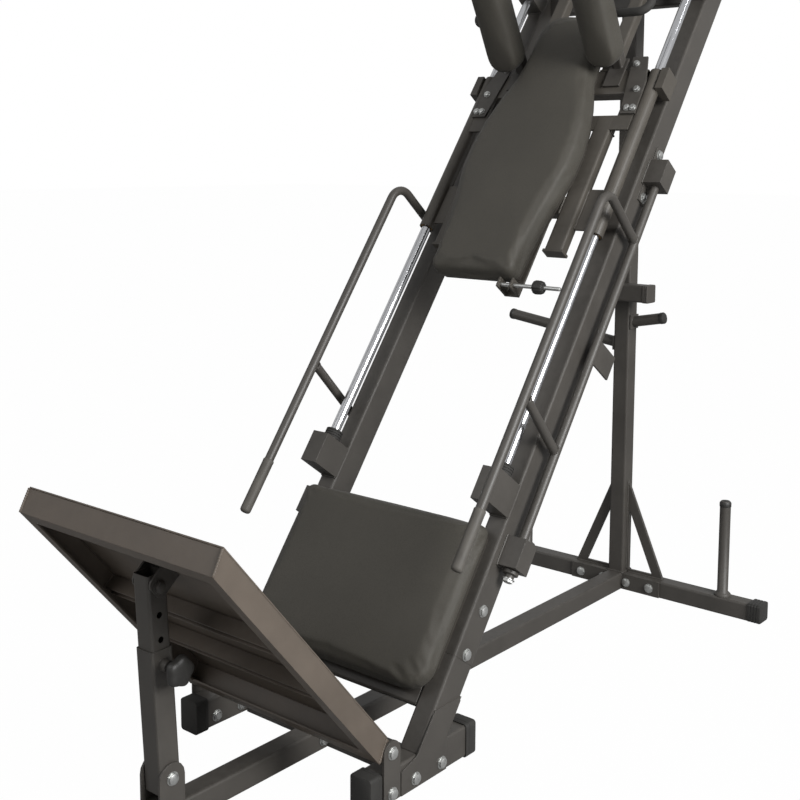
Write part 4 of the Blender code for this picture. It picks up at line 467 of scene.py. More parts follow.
def new_tree(name, inputs):
    """A node tree for a modifier, with its named inputs and their defaults, and the finish as its last input."""
    tree = bpy.data.node_groups.new(name, "GeometryNodeTree")
    tree.interface.new_socket("Geometry", in_out="INPUT", socket_type="NodeSocketGeometry")
    for word, default in inputs.items():
        kind = "NodeSocketInt" if isinstance(default, int) else "NodeSocketFloat"
        tree.interface.new_socket(word, in_out="INPUT", socket_type=kind).default_value = default
    tree.interface.new_socket("Finish", in_out="INPUT", socket_type="NodeSocketMaterial")
    tree.interface.new_socket("Geometry", in_out="OUTPUT", socket_type="NodeSocketGeometry")
    return tree, add(tree, "NodeGroupInput").outputs


def close_tree(tree, geometry, material):
    """Ends a tree: instances made real, the material set and the geometry handed on."""
    real = add(tree, "GeometryNodeRealizeInstances", {"Geometry": geometry})
    painted = add(tree, "GeometryNodeSetMaterial", {"Geometry": real.outputs[0], "Material": material})
    add(tree, "NodeGroupOutput", {0: painted.outputs[0]})
    return tree


def run_tree(name, tree, points, edges, finish, values, attributes=None):
    """Runs a tree on points and edges and returns the plain mesh that it makes."""
    mesh = bpy.data.meshes.new(name)
    mesh.from_pydata([tuple(p) for p in points], edges, [])
    for word, vectors in (attributes or {}).items():
        layer = mesh.attributes.new(word, "FLOAT_VECTOR", "POINT")
        for item, vector in zip(layer.data, vectors):
            item.vector = vector
    carrier = new_object(name, mesh)
    modifier = carrier.modifiers.new(tree.name, "NODES")
    modifier.node_group = tree
    values = dict(values, Finish=finish_of(finish))
    for item in tree.interface.items_tree:
        if item.in_out == "INPUT" and item.name in values:
            modifier[item.identifier] = values[item.name]
    made = plain(carrier)
    bpy.data.objects.remove(carrier)
    return made


def tube_tree():
    """A bent tube: the path's corners are rounded and a round section follows it."""
    tree, source = new_tree("Bent tube", {"Tube radius": 0.0115, "Bend radius": 0.045, "Bend steps": 12,
                                          "Sides": 40})
    path = add(tree, "GeometryNodeMeshToCurve", {"Mesh": source["Geometry"]})
    bent = add(tree, "GeometryNodeFilletCurve", {"Curve": path.outputs[0], "Radius": source["Bend radius"],
                                                 "Count": source["Bend steps"], "Limit Radius": True}, mode="POLY")
    section = add(tree, "GeometryNodeCurvePrimitiveCircle", {"Resolution": source["Sides"],
                                                             "Radius": source["Tube radius"]})
    tube = add(tree, "GeometryNodeCurveToMesh", {"Curve": bent.outputs[0], "Profile Curve": section.outputs[0],
                                                 "Fill Caps": True})
    return close_tree(tree, tube.outputs[0], source["Finish"])


def planted(tree, source, shape, word, axis):
    """Ends a tree with the shape at each point, its axis turned along the vector that the point holds."""
    held = add(tree, "GeometryNodeInputNamedAttribute", {"Name": word}, data_type="FLOAT_VECTOR")
    turned = add(tree, "FunctionNodeAlignRotationToVector", {"Vector": held.outputs[0]}, axis=axis)
    spots = add(tree, "GeometryNodeMeshToPoints", {"Mesh": source["Geometry"]})
    placed = add(tree, "GeometryNodeInstanceOnPoints", {"Points": spots.outputs[0], "Instance": shape,
                                                        "Rotation": turned.outputs[0]})
    return close_tree(tree, placed.outputs[0], source["Finish"])


def bolt_tree():
    """A hexagon head on a round washer at each point, turned to the way that the point faces."""
    tree, source = new_tree("Bolt heads", {"Head radius": 0.0114, "Head height": 0.0066, "Washer radius": 0.0135,
                                           "Washer height": WASHER, "Head sides": 6})
    radius, height, washer_height = source["Head radius"], source["Head height"], source["Washer height"]
    washer = add(tree, "GeometryNodeMeshCylinder", {"Vertices": 36, "Radius": source["Washer radius"],
                                                    "Depth": washer_height})
    body = maths(tree, "MULTIPLY", height, 0.74)
    head = add(tree, "GeometryNodeMeshCylinder", {"Vertices": source["Head sides"], "Radius": radius, "Depth": body})
    crown = add(tree, "GeometryNodeMeshCone", {
        "Vertices": 36, "Radius Top": maths(tree, "MULTIPLY", radius, 0.66),
        "Radius Bottom": maths(tree, "MULTIPLY", radius, 0.95), "Depth": maths(tree, "MULTIPLY", height, 0.26)})
    whole = add(tree, "GeometryNodeJoinGeometry")
    for part, lift in ((washer, maths(tree, "MULTIPLY", washer_height, 0.5)),
                       (head, maths(tree, "MULTIPLY_ADD", body, 0.5, washer_height)),
                       (crown, maths(tree, "ADD", body, washer_height))):
        rise = add(tree, "ShaderNodeCombineXYZ", {"Z": lift})
        lifted = add(tree, "GeometryNodeTransform", {"Geometry": part.outputs[0], "Translation": rise.outputs[0]})
        tree.links.new(lifted.outputs[0], whole.inputs[0])
    return planted(tree, source, whole.outputs[0], "facing", "Z")


def weld_tree():
    """A weld bead: a thin round section along each seam, swelling at every ripple."""
    tree, source = new_tree("Weld bead", {"Bead radius": 0.0026, "Ripple pitch": 0.005})
    path = add(tree, "GeometryNodeMeshToCurve", {"Mesh": source["Geometry"]})
    step = maths(tree, "MULTIPLY", source["Ripple pitch"], 0.34)
    fine = add(tree, "GeometryNodeResampleCurve", {"Curve": path.outputs[0], "Length": step}, mode="LENGTH")
    along = add(tree, "GeometryNodeSplineParameter").outputs["Length"]
    turns = maths(tree, "DIVIDE", along, source["Ripple pitch"])
    wave = maths(tree, "SINE", maths(tree, "MULTIPLY", turns, math.tau))
    width = maths(tree, "MULTIPLY", maths(tree, "MULTIPLY_ADD", wave, 0.18, 1.0), source["Bead radius"])
    section = add(tree, "GeometryNodeCurvePrimitiveCircle", {"Resolution": 8, "Radius": 1.0})
    bead = add(tree, "GeometryNodeCurveToMesh", {"Curve": fine.outputs[0], "Profile Curve": section.outputs[0],
                                                 "Fill Caps": True, "Scale": width})
    return close_tree(tree, bead.outputs[0], source["Finish"])


def tread_tree():
    """Raised bars on a tread, each turned by the angle that its point holds."""
    tree, source = new_tree("Tread bars", {"Bar length": 0.023, "Bar width": 0.0055, "Bar height": 0.0011})
    dome = add(tree, "GeometryNodeMeshUVSphere", {"Segments": 10, "Rings": 5, "Radius": 1.0})
    shape = add(tree, "ShaderNodeCombineXYZ", {"X": maths(tree, "MULTIPLY", source["Bar length"], 0.5),
                                               "Y": maths(tree, "MULTIPLY", source["Bar width"], 0.5),
                                               "Z": source["Bar height"]})
    bar = add(tree, "GeometryNodeTransform", {"Geometry": dome.outputs[0], "Scale": shape.outputs[0]})
    return planted(tree, source, bar.outputs[0], "heading", "X")


def bent_tube(name, corners, radius, bend, finish="black_paint"):
    """A tube along corners, made by the bent tube tree."""
    tree = bpy.data.node_groups.get("Bent tube") or tube_tree()
    edges = [(i, i + 1) for i in range(len(corners) - 1)]
    return run_tree(name, tree, corners, edges, finish, {
        "Tube radius": radius, "Bend radius": bend, "Bend steps": 12, "Sides": sizes().round_sides})


def joined(meshes):
    """One bmesh from several meshes."""
    bm = bmesh.new()
    for mesh in meshes:
        bm.from_mesh(mesh)
        bpy.data.meshes.remove(mesh)
    return bm


# Painted steel and the other pieces that keep their welded shape

CAD_FINISHES = {
    "black_paint": ("rear_cross_beam", "centre_beam", "front_cross_beam", "front_extension", "rear_post", "stop_tube",
                    "foot_left", "foot_right", "stub_left", "stub_right", "rail_left", "rail_right",
                    "top_cross_member", "pad_cross_bar_low", "pad_cross_bar_high", "hinge_bracket_left",
                    "hinge_bracket_right", "strut_foot_bracket", "carriage_side_plate_left",
                    "carriage_side_plate_right", "shoulder_bracket_left", "shoulder_bracket_right",
                    "strut_top_bracket", "strut_sleeve", "strut_inner_tube"),
    "grey_paint": ("carriage_frame",),
    "plate_paint": ("foot_plate_frame", "foot_plate_sheet"),
    "plywood": ("lower_pad_board", "back_pad_board"),
    "bronze": ("linear_bearing_left", "linear_bearing_right"),
}


class LEGPRESS_OT_steel(Operator):
    """Gives the welded frame, carriage, foot plate and boards their finishes"""
    bl_idname = "legpress.steel"
    bl_label = "Finish the welded pieces"

    def execute(self, context):
        for finish, names in CAD_FINISHES.items():
            for name in names:
                node = NODES[name]
                if not node.material_slots:
                    node.data.materials.append(finish_of(finish))
                for slot in node.material_slots:
                    slot.material = finish_of(finish)
        return {"FINISHED"}


class LEGPRESS_OT_rods(Operator):
    """Chromed guide rods with their rubber bumpers"""
    bl_idname = "legpress.rods"
    bl_label = "Make the guide rods"

    def execute(self, context):
        radius = sizes().rod_radius
        low, high, rest, chamfer = 0.6903, 2.2447, 0.7603, 0.0015
        for side, word in SIDES:
            x = side * RAIL_X
            rod = ((0, radius - chamfer), (chamfer, radius), (high - low - chamfer, radius),
                   (high - low, radius - chamfer))
            spun(f"chromed_rod_{word}", [((x, low, ROD_T), Y_AXIS, rod, 64)], "chrome", "base", RAILS,
                 [f"guide_rod_{word}"])
            outer = 0.0220
            profile = [(0, radius + GAP), (0, outer - 0.002), (0.002, outer)]
            for k in range(3):
                start = 0.0055 + 0.006 * k
                profile += [(start, outer), (start + 0.0010, outer - 0.0016), (start + 0.0024, outer - 0.0016),
                            (start + 0.0034, outer)]
            profile += [(0.023, outer), (0.025, outer - 0.002), (0.025, radius + GAP)]
            spun(f"rubber_bumper_{word}", [((x, rest, ROD_T), Y_AXIS, profile, 48, None, True)], "rubber", "base",
                 RAILS, [f"rod_bumper_{word}"])
        return {"FINISHED"}


class LEGPRESS_OT_handles(Operator):
    """Swing-out safety handles with their pivot tubes, legs, catch lugs and grips"""
    bl_idname = "legpress.handles"
    bl_label = "Make the safety handles"

    def execute(self, context):
        s = sizes()
        for side, word in SIDES:
            body = f"{word}_handle"
            px, bx = side * PIVOT_X, side * BAR_X
            pivot = bent_tube("pivot", [(px, PIVOT_LOW, PIVOT_T), (px, 1.661, PIVOT_T)], s.pivot_radius, 0.0)
            bar = bent_tube("bar", [(bx, BAR_LOW, BAR_T), (bx, BAR_HIGH, BAR_T),
                                    (px, TOP_LEG, PIVOT_T + s.pivot_radius - 0.002)], s.handle_radius, 0.045)
            leg = bent_tube("leg", [(px, 0.870, PIVOT_T + 0.009), (bx, 0.910, BAR_T - 0.009)],
                            s.handle_radius - 0.0004, 0.0)
            bm = joined([pivot, bar, leg])
            turn(bm, (px, 0.5697, PIVOT_T), Y_AXIS, ((0, 0.0165), (0.0015, 0.018), (0.0085, 0.018), (0.010, 0.0165)))
            piece(f"safety_handle_{word}", bm, "black_paint", body, RAILS, [f"handle_{word}"])
            bm = bmesh.new()
            block(bm, (px - 0.003, 1.111, PIVOT_T - 0.096), (px + 0.003, 1.173, PIVOT_T - 0.009))
            piece(f"catch_lug_{word}", bm, "black_paint", body, RAILS, bevel=0.0010)
            r = s.grip_radius
            steps = [(0, 0.004), (0.0006, 0.008), (0.002, 0.0108), (0.005, r - 0.0005), (0.009, r), (0.132, r),
                     (0.1385, r + 0.0004), (0.141, r - 0.0006), (0.141, s.handle_radius + GAP)]
            spun(f"handle_rubber_grip_{word}", [((bx, GRIP_LOW, BAR_T), Y_AXIS, steps, 48)], "grip", body, RAILS,
                 [f"handle_grip_{word}"])
        return {"FINISHED"}


class LEGPRESS_OT_loops(Operator):
    """Hand loops beside the shoulder pads and the chromed loading horns"""
    bl_idname = "legpress.loops"
    bl_label = "Make the hand loops and horns"

    def execute(self, context):
        s = sizes()
        for side, word in SIDES:
            root, out = side * 0.1683, side * LOOP_X
            path = [(root, LOOP_S, LOOP_T), (out, LOOP_S, LOOP_T), (out, LOOP_S + 0.130, LOOP_T)]
            bm = joined([bent_tube("loop", path, s.loop_radius, 0.028, "rubber")])
            r = s.loop_radius
            steps = [(0, r - 0.001), (0.0005, r + 0.0018), (0.003, r + 0.0030)]
            for k in range(9):
                at = 0.008 + 0.0085 * k
                steps += [(at, r + 0.0030), (at + 0.0014, r + 0.0022), (at + 0.0034, r + 0.0022),
                          (at + 0.0048, r + 0.003)]
            steps += [(0.0895, r + 0.0030), (0.0925, r + 0.0014), (0.094, r - 0.003)]
            turn(bm, (out, LOOP_S + 0.037, LOOP_T), Y_AXIS, steps, 48)
            piece(f"hand_loop_{word}", bm, "rubber", "carriage", RAILS, [f"hand_grip_{word}"])
            r, reach, plug = s.horn_radius, HORN_END - HORN_START, 0.012
            spun(f"chromed_horn_{word}", [((side * HORN_START, HORN_S, HORN_T), side * X_AXIS, (
                (0, r - 0.003), (0, r), (reach - 0.0075, r), (reach - 0.006, r - 0.001),
                (reach - 0.006, r - 0.004)), 64)], "chrome", "carriage", RAILS, [f"loading_horn_{word}"])
            spun(f"horn_end_plug_{word}", [((side * (HORN_END - plug), HORN_S, HORN_T), side * X_AXIS, (
                (0, r - 0.0045), (0.0062, r - 0.0045), (0.0062, r - 0.0004), (0.0092, r - 0.0008),
                (0.0112, r - 0.0035), (plug, r - 0.010), (plug, 0.004)), 64)], "plastic", "carriage", RAILS)
        return {"FINISHED"}


class LEGPRESS_OT_pegs(Operator):
    """Side pegs on the post and sleeves over the plate storage pegs"""
    bl_idname = "legpress.pegs"
    bl_label = "Make the pegs"

    def execute(self, context):
        s = sizes()
        for side, word, height, reach, rise in ((-1, "left", 0.751, 0.385, math.radians(8)),
                                                (1, "right", 0.818, 0.100, math.radians(11))):
            direction = Vector((side * math.cos(rise), 0, math.sin(rise)))
            root = Vector((side * 0.0291, REAR_Y, height))
            bm = bmesh.new()
            turn(bm, root, direction, ((0, s.peg_radius), (reach - 0.012, s.peg_radius),
                                       (reach - 0.012, s.peg_radius - 0.002)))
            low, high = sorted((side * 0.0253, side * 0.0303))
            block(bm, (low, REAR_Y - 0.0225, height - 0.021), (high, REAR_Y + 0.0225, height + 0.021))
            piece(f"post_peg_{word}", bm, "black_paint", "base", replaces=[f"side_peg_{word}"])
            wide = s.peg_radius + 0.001
            spun(f"peg_plug_{word}", [(root + direction * (reach - 0.012), direction, (
                (0, wide - 0.001), (0.001, wide), (0.0105, wide), (0.0128, wide - 0.0015),
                (0.0138, wide - 0.005)))], "plastic", "base")
            x, r, tall = side * 0.337, 0.0154, 0.262
            spun(f"storage_peg_{word}", [((x, REAR_Y, TUBE), Z_AXIS, (
                (-0.001, 0.0234), (0.0045, 0.0234), (0.0062, 0.0222), (0.0088, 0.0192), (0.0125, r),
                (tall, r)), 48)], "black_paint", "base", sharp=50)
            spun(f"storage_peg_cap_{word}", [((x, REAR_Y, TUBE + tall), Z_AXIS, (
                (0, r + 0.0006), (0.0012, r + 0.0011), (0.0105, r + 0.0011), (0.0140, r - 0.001), (0.0162, r - 0.006),
                (0.0168, 0.003)), 48)], "plastic", "base")
        return {"FINISHED"}


class LEGPRESS_OT_caps(Operator):
    """Rubber caps on the feet and ribbed plastic caps on the rear beam"""
    bl_idname = "legpress.caps"
    bl_label = "Make the end caps"

    def execute(self, context):
        for side, word in SIDES:
            x = side * RAIL_X
            for end, mouth, heading in (("front", 0.035, -1), ("rear", 0.314, 1)):
                def shape(grow):
                    return rounded_box(0.0566 + grow, 0.0766 + grow, 0.008 + grow / 2)

                inner = rounded_box(0.0508, 0.0708, 0.0054)
                steps = [(0.029, inner), (0, inner), (0, shape(-0.001)), (0.0008, shape(0)), (0.009, shape(0)),
                         (0.0098, shape(-0.0012)), (0.0118, shape(-0.0012)), (0.0126, shape(0)), (0.032, shape(0)),
                         (0.0341, shape(-0.0012)), (0.035, shape(-0.004))]
                spun(f"rubber_foot_{end}_{word}", [((x, mouth, 0.0383), heading * Y_AXIS, steps, None,
                                                    (heading * X_AXIS, Z_AXIS))], "rubber", "base",
                     replaces=[f"foot_cap_{end}_{word}"])

            def section(grow):
                return [(u, v + 0.002) for u, v in rounded_box(0.058 + grow, 0.054 + grow, 0.008 + grow / 2)]

            steps = [(0, section(-0.002)), (0.001, section(0))]
            for k in range(3):
                at = 0.007 + 0.0085 * k
                steps += [(at, section(0)), (at + 0.0008, section(-0.0022)), (at + 0.0028, section(-0.0022)),
                          (at + 0.0036, section(0))]
            steps += [(0.0345, section(0)), (0.0372, section(-0.002)), (0.038, section(-0.006))]
            spun(f"beam_end_cap_{word}", [((side * 0.4253, REAR_Y, TUBE / 2), side * X_AXIS, steps, None,
                                           (side * Y_AXIS, Z_AXIS))], "plastic", "base",
                 replaces=[f"rear_cap_{word}"])
        return {"FINISHED"}


def lobed(radius, lobes, depth, sides=160):
    """A star knob's outline."""
    points = []
    for i in range(sides):
        a = math.tau * i / sides
        r = radius - depth * (1 - math.cos(lobes * a)) / 2
        points.append((r * math.cos(a), r * math.sin(a)))
    return points


class LEGPRESS_OT_pins(Operator):
    """Spring pins with their knobs, on the strut and under the back pad"""
    bl_idname = "legpress.pins"
    bl_label = "Make the pull pins"

    def execute(self, context):
        at = Vector((0, 0, STRUT_PIN))
        spun("strut_pin_shank", [(at, X_AXIS, ((0.0228, 0.0040), (0.0242, 0.006), (0.056, 0.006)), 40)], "zinc",
             "strut_pin", STRUT)
        wide, deep = 0.031, 0.004
        star = [(0.0670, 0.0070), (0.0670, 0.0015), (0.0690, 0.0), (0.0725, -0.0006), (0.0765, 0.0), (0.0795, 0.0012),
                (0.0820, 0.0040), (0.0838, 0.0090), (0.0846, 0.0150)]
        knob = [(x, lobed(wide - inset, 5, deep * (1 - inset / wide))) for x, inset in star]
        spun("strut_pin_knob", [
            (at, X_AXIS, ((0.055, 0.0085), (0.0553, 0.0098), (0.066, 0.0100), (0.0672, 0.0120)), 48),
            (at, X_AXIS, knob, None, (Y_AXIS, Z_AXIS))], "plastic", "strut_pin", STRUT, ["strut_pull_pin"], 50)
        at = PAD_PIN
        spun("pad_pin_shank", [(at, X_AXIS, ((0.080, 0.0035), (0.0815, 0.005), (0.189, 0.005)), 32),
                               (at, X_AXIS, ((0.215, 0.005), (0.2605, 0.005), (0.262, 0.0038)), 32)], "zinc",
             "carriage_pin", RAILS)
        steps = [(0.140, 0.0085), (0.1405, 0.0125), (0.1420, 0.0150), (0.1445, 0.0168), (0.150, 0.0170),
                 (0.160, 0.0166), (0.1650, 0.0152), (0.1675, 0.0120), (0.168, 0.0085)]
        knob = [(x + 0.048, lobed(r, 12, 0.0009, 144)) for x, r in steps]
        spun("pad_pin_knob", [(at, X_AXIS, knob, None, (Y_AXIS, Z_AXIS))], "plastic", "carriage_pin", RAILS,
             ["pad_pull_pin"], 50)
        return {"FINISHED"}


# Bolts: place, the way that the head faces, by body and by the frame in which they are drawn


def through(start, direction, grip):
    """A bolt's head and, at the far end of its grip, its nut."""
    start, direction = Vector(start), Vector(direction)
    return [(start, direction), (start - direction * grip, -direction)]


def frame_bolts():
    floor, rails = [], []
    for x in (0.040, 0.117, -0.040, -0.117):
        floor += through((x, 1.4497, 0.025), -Y_AXIS, 0.0553)
    for side, _ in SIDES:
        for y in (0.139, 0.226):
            floor += through((side * 0.2898, y, 0.027), side * X_AXIS, 0.0533)
        floor += through((side * 0.2928, HINGE.y, 0.027), side * X_AXIS, 0.0563)
        floor += [(Vector((side * 0.2928, HINGE.y, HINGE.z)), side * X_AXIS)]
        for s in (0.375, 0.475):
            rails += through((side * RAIL_OUTER, s, RAIL_T), side * X_AXIS, TUBE)
        for s in (1.580, 1.712):
            rails += [(Vector((side * (RAIL_OUTER + 0.004), s, PIVOT_T)), side * X_AXIS)]
        for s in (0.262, 0.600):
            rails += [(Vector((side * 0.150, s, -0.107)), -Z_AXIS)]
    floor += through((0.0303, STRUT_FOOT.y, 0.025), X_AXIS, 0.0606)
    floor += through((0.0253, 0.1426, 0.0235), X_AXIS, 0.0506)
    return floor, rails


def bolts(name, places, body, where, head=None, height=None, sides=6, replaces=(), shanks=(), finish="zinc"):
    """Bolt heads at their places, made by the bolt tree, with any shanks that show."""
    s = sizes()
    tree = bpy.data.node_groups.get("Bolt heads") or bolt_tree()
    head = head or s.bolt_size
    mesh = run_tree(name, tree, [p for p, _ in places], [], finish, {
        "Head radius": head, "Head height": height or s.bolt_height, "Washer radius": head * 1.2,
        "Washer height": WASHER, "Head sides": sides}, {"facing": [d for _, d in places]})
    bm = joined([mesh])
    for start, end in shanks:
        start, end = Vector(start), Vector(end)
        turn(bm, start, end - start, ((0, 0.005), ((end - start).length, 0.005)), 24)
    piece(name, bm, finish, body, where, replaces, sharp=30)


class LEGPRESS_OT_bolts(Operator):
    """Zinc plated bolts with washers and nuts"""
    bl_idname = "legpress.bolts"
    bl_label = "Make the bolts"

    def execute(self, context):
        floor, rails = frame_bolts()
        bolts("frame_bolts", floor, "base", FLOOR)
        bolts("rail_bolts", rails, "base", RAILS)
        bolts("strut_pivot_bolt", through((0.0303, 0, 0), X_AXIS, 0.0606), "base", STRUT,
              replaces=["strut_foot_bolt"], shanks=[((-0.030, 0, 0), (0.030, 0, 0))])
        bolts("strut_head_bolt", through((0.0281, *STRUT_HEAD), X_AXIS, 0.0562), "foot_plate", PLATE,
              replaces=["strut_top_bolt"], shanks=[((-0.028, *STRUT_HEAD), (0.028, *STRUT_HEAD))],
              finish="black_paint")
        for side, word in SIDES:
            end = Vector((side * PIVOT_X, PIVOT_LOW, PIVOT_T))
            bolts(f"pivot_end_bolt_{word}", [(end, -Y_AXIS)], f"{word}_handle", RAILS, 0.0120, 0.0075)
        clamps = [(Vector((side * x, s, -0.0057)), Z_AXIS) for side, _ in SIDES
                  for x, s in ((0.206, 1.918), (0.235, 1.834), (0.228, 1.774), (0.245, 1.774))]
        bolts("clamp_bolts", clamps, "carriage", RAILS, 0.0078, 0.0062, 28)
        board = [(Vector((side * x, 1.735, -0.0173)), -Z_AXIS) for side, _ in SIDES for x in (0.060, 0.120)]
        bolts("pad_fixing_bolts", board, "carriage", RAILS, 0.0075, 0.0050)
        return {"FINISHED"}


# Welds: the seams that show, as open or closed lines


def loop(points):
    return list(points) + [points[0]]


def seam(side, x_1, s_1, t_1, x_2, s_2, t_2):
    """A straight seam on one side of the machine."""
    return [(side * x_1, s_1, t_1), (side * x_2, s_2, t_2)]


def square(x, y, z, half_x, half_y):
    return loop([(x - half_x, y - half_y, z), (x + half_x, y - half_y, z), (x + half_x, y + half_y, z),
                 (x - half_x, y + half_y, z)])


def weld(name, lines, body, where, finish="black_paint"):
    points, edges = [], []
    for line in lines:
        first = len(points)
        closed = (Vector(line[0]) - Vector(line[-1])).length < 1e-6
        line = line[:-1] if closed else line
        points += line
        edges += [(first + i, first + i + 1) for i in range(len(line) - 1)]
        if closed:
            edges.append((first + len(line) - 1, first))
    s = sizes()
    tree = bpy.data.node_groups.get("Weld bead") or weld_tree()
    mesh = run_tree(name, tree, points, edges, finish, {"Bead radius": s.weld_radius, "Ripple pitch": s.weld_pitch})
    piece(name, mesh, finish, body, where, sharp=180)


def circle_line(centre, direction, radius, sides=20):
    first, second = across(direction)
    return loop([Vector(centre) + first * (radius * math.cos(math.tau * i / sides))
                 + second * (radius * math.sin(math.tau * i / sides)) for i in range(sides)])


class LEGPRESS_OT_welds(Operator):
    """Weld beads along the seams that show"""
    bl_idname = "legpress.welds"
    bl_label = "Make the weld beads"

    def execute(self, context):
        half = TUBE / 2
        floor = [square(0, REAR_Y, TUBE + 0.0008, half, half)]
        rails, carriage, plate = [], [], []
        front, back = -0.0113, -0.0410
        for side, word in SIDES:
            for y in (REAR_Y - 0.0045, REAR_Y + 0.0045):
                floor += [seam(side, 0.0255, y, 0.060, 0.0255, y, 0.330),
                          seam(side, 0.034, y, TUBE + 0.0008, 0.146, y, TUBE + 0.0008)]
            x = side * RAIL_X
            for s in (0.6795, 0.7605, 2.1945, 2.2555):
                rails.append([(x - 0.0235, s, -0.0765), (x + 0.0235, s, -0.0765)])
            for low in (0.580, 1.611):
                face = side * (RAIL_OUTER + 0.0006)
                rails.append(loop([(face, low, PIVOT_T - 0.026), (face, low + 0.070, PIVOT_T - 0.026),
                                   (face, low + 0.070, PIVOT_T + 0.026), (face, low, PIVOT_T + 0.026)]))
            px, bx = side * PIVOT_X, side * BAR_X
            weld(f"handle_welds_{word}", [circle_line((px, 0.872, PIVOT_T + 0.0105), (0, 0.19, 1), 0.0112),
                                          circle_line((bx, 0.9085, BAR_T - 0.0105), (0, 0.19, 1), 0.0112),
                                          circle_line((px, TOP_LEG + 0.0007, PIVOT_T + 0.0105), Z_AXIS, 0.0118)],
                 f"{word}_handle", RAILS)
            carriage += [seam(side, edge, 1.7095, back + 0.001, edge, 1.7095, -0.019) for edge in (0.148, 0.198)]
            carriage.append(seam(side, 0.148, 1.7095, -0.0178, 0.198, 1.7095, -0.0178))
            carriage += [seam(side, edge, 1.9055, back, edge, 1.9055, front) for edge in (0.100, 0.140)]
            carriage += [seam(side, 0.100, 1.9055, front, 0.140, 1.9055, front),
                         seam(side, 0.148, 1.450, front - 0.0006, 0.148, 1.500, front - 0.0006)]
            carriage += [seam(side, 0.1985, 1.417, level, 0.1985, 1.533, level)
                         for level in (ROD_T - 0.0035, ROD_T + 0.0035)]
            plate += [seam(side, 0.2862, p + 0.0095, -0.0130, 0.2862, p - 0.0095, 0.0335) for p in (0.0222, 0.6783)]
            plate += [seam(side, 0.2822, edge, -0.0128, 0.2822, edge, 0.0185)
                      for p in (0.215, 0.375) for edge in (p - 0.0125, p + 0.0125)]
        weld("frame_welds", floor, "base", FLOOR)
        weld("rail_welds", rails, "base", RAILS)
        weld("carriage_welds", carriage, "carriage", RAILS, "grey_paint")
        weld("plate_welds", plate, "foot_plate", PLATE, "plate_paint")
        return {"FINISHED"}


class LEGPRESS_OT_tread(Operator):
    """Raised bars on the foot plate's tread"""
    bl_idname = "legpress.tread"
    bl_label = "Make the tread pattern"

    def execute(self, context):
        s = sizes()
        pitch = s.tread_pitch
        rows, columns = int(0.600 / pitch), int(0.530 / pitch)
        points, headings = [], []
        for i in range(rows + 1):
            for k in range(columns + 1):
                points.append((-columns * pitch / 2 + k * pitch, 0.060 + i * pitch, TREAD + SUNK))
                headings.append((1 if (i + k) % 2 else -1, 1, 0))
        tree = bpy.data.node_groups.get("Tread bars") or tread_tree()
        mesh = run_tree("tread_bars", tree, points, [], "plate_paint", {"Bar height": s.tread_height + SUNK},
                        {"heading": headings})
        piece("tread_bars", mesh, "plate_paint", "foot_plate", PLATE)
        return {"FINISHED"}


# Pads

# What the cloth step holds the cover with, and its last frame
COVER = {"quality": 6, "mass": 0.3, "tension_stiffness": 12, "compression_stiffness": 12, "shear_stiffness": 6,
         "bending_stiffness": 3.0, "use_pressure": True, "uniform_pressure_force": 2.2, "vertex_group_mass": "board"}
COVER_FRAMES = 20


def foam_pad(name, node, body, back, normal):
    """A pad grown from its plain form: remeshed, swollen like foam in a cover, flat where it meets its board."""
    s = sizes()
    bm = bmesh.new()
    bm.from_mesh(NODES[node].data)
    bmesh.ops.remove_doubles(bm, verts=bm.verts[:], dist=1e-5)
    bmesh.ops.recalc_face_normals(bm, faces=bm.faces[:])
    pad = new_object(name, to_mesh(name, bm))
    cells = pad.modifiers.new("Cells", "REMESH")
    cells.mode, cells.voxel_size = "VOXEL", s.pad_voxel
    even = pad.modifiers.new("Even", "SMOOTH")
    even.factor, even.iterations = 0.5, 4
    pad.data = plain(pad)
    normal = Vector(normal).normalized()
    rest = [v.co.copy() for v in pad.data.vertices]
    flat = [(p - back).dot(normal) < 0.006 for p in rest]
    held = pad.vertex_groups.new(name="board")
    held.add([i for i, down in enumerate(flat) if down], 1.0, "REPLACE")
    cloth = pad.modifiers.new("Foam", "CLOTH")
    for word, value in COVER.items():
        setattr(cloth.settings, word, value)
    cloth.settings.effector_weights.gravity = 0.0
    cloth.collision_settings.use_collision = False
    cloth.point_cache.frame_start, cloth.point_cache.frame_end = 1, COVER_FRAMES
    for step in range(1, COVER_FRAMES + 1):
        bpy.context.scene.frame_set(step)
    swollen = plain(pad)
    bpy.context.scene.frame_set(1)
    for vertex, start, down in zip(swollen.vertices, rest, flat):
        move = Vector() if down else vertex.co - start
        if move.length > s.pad_swell:
            move *= s.pad_swell / move.length
        vertex.co = start + move
    pad.data = swollen
    drawn = pad.modifiers.new("Drawn cover", "SMOOTH")
    drawn.factor, drawn.iterations = 0.5, 6
    fine = pad.modifiers.new("Fine", "SUBSURF")
    fine.levels = fine.render_levels = 1
    made = plain(pad)
    bpy.data.objects.remove(pad)
    cushion = piece(name, made, "vinyl", body, FLOOR, [node], sharp=180)
    return cushion


class LEGPRESS_OT_pads(Operator):
    """Vinyl covered foam pads"""
    bl_idname = "legpress.pads"
    bl_label = "Make the pads"

    def execute(self, context):
        up = RAILS.to_3x3() @ Z_AXIS
        foam_pad("seat_cushion", "lower_pad", "base", RAILS @ Vector((0, 0.45, -0.0644)), up)
        foam_pad("back_cushion", "back_pad", "carriage", RAILS @ Vector((0, 1.6, 0.0016)), up)
        lean = math.radians(26.0)
        way = Vector((0, -math.cos(lean), math.sin(lean)))
        for side, word in SIDES:
            root = Vector((side * 0.153, 1.8505, 0.052)) - way * 0.068
            foam_pad(f"shoulder_cushion_{word}", f"shoulder_pad_{word}", "carriage", RAILS @ root,
                     RAILS.to_3x3() @ way)
        return {"FINISHED"}


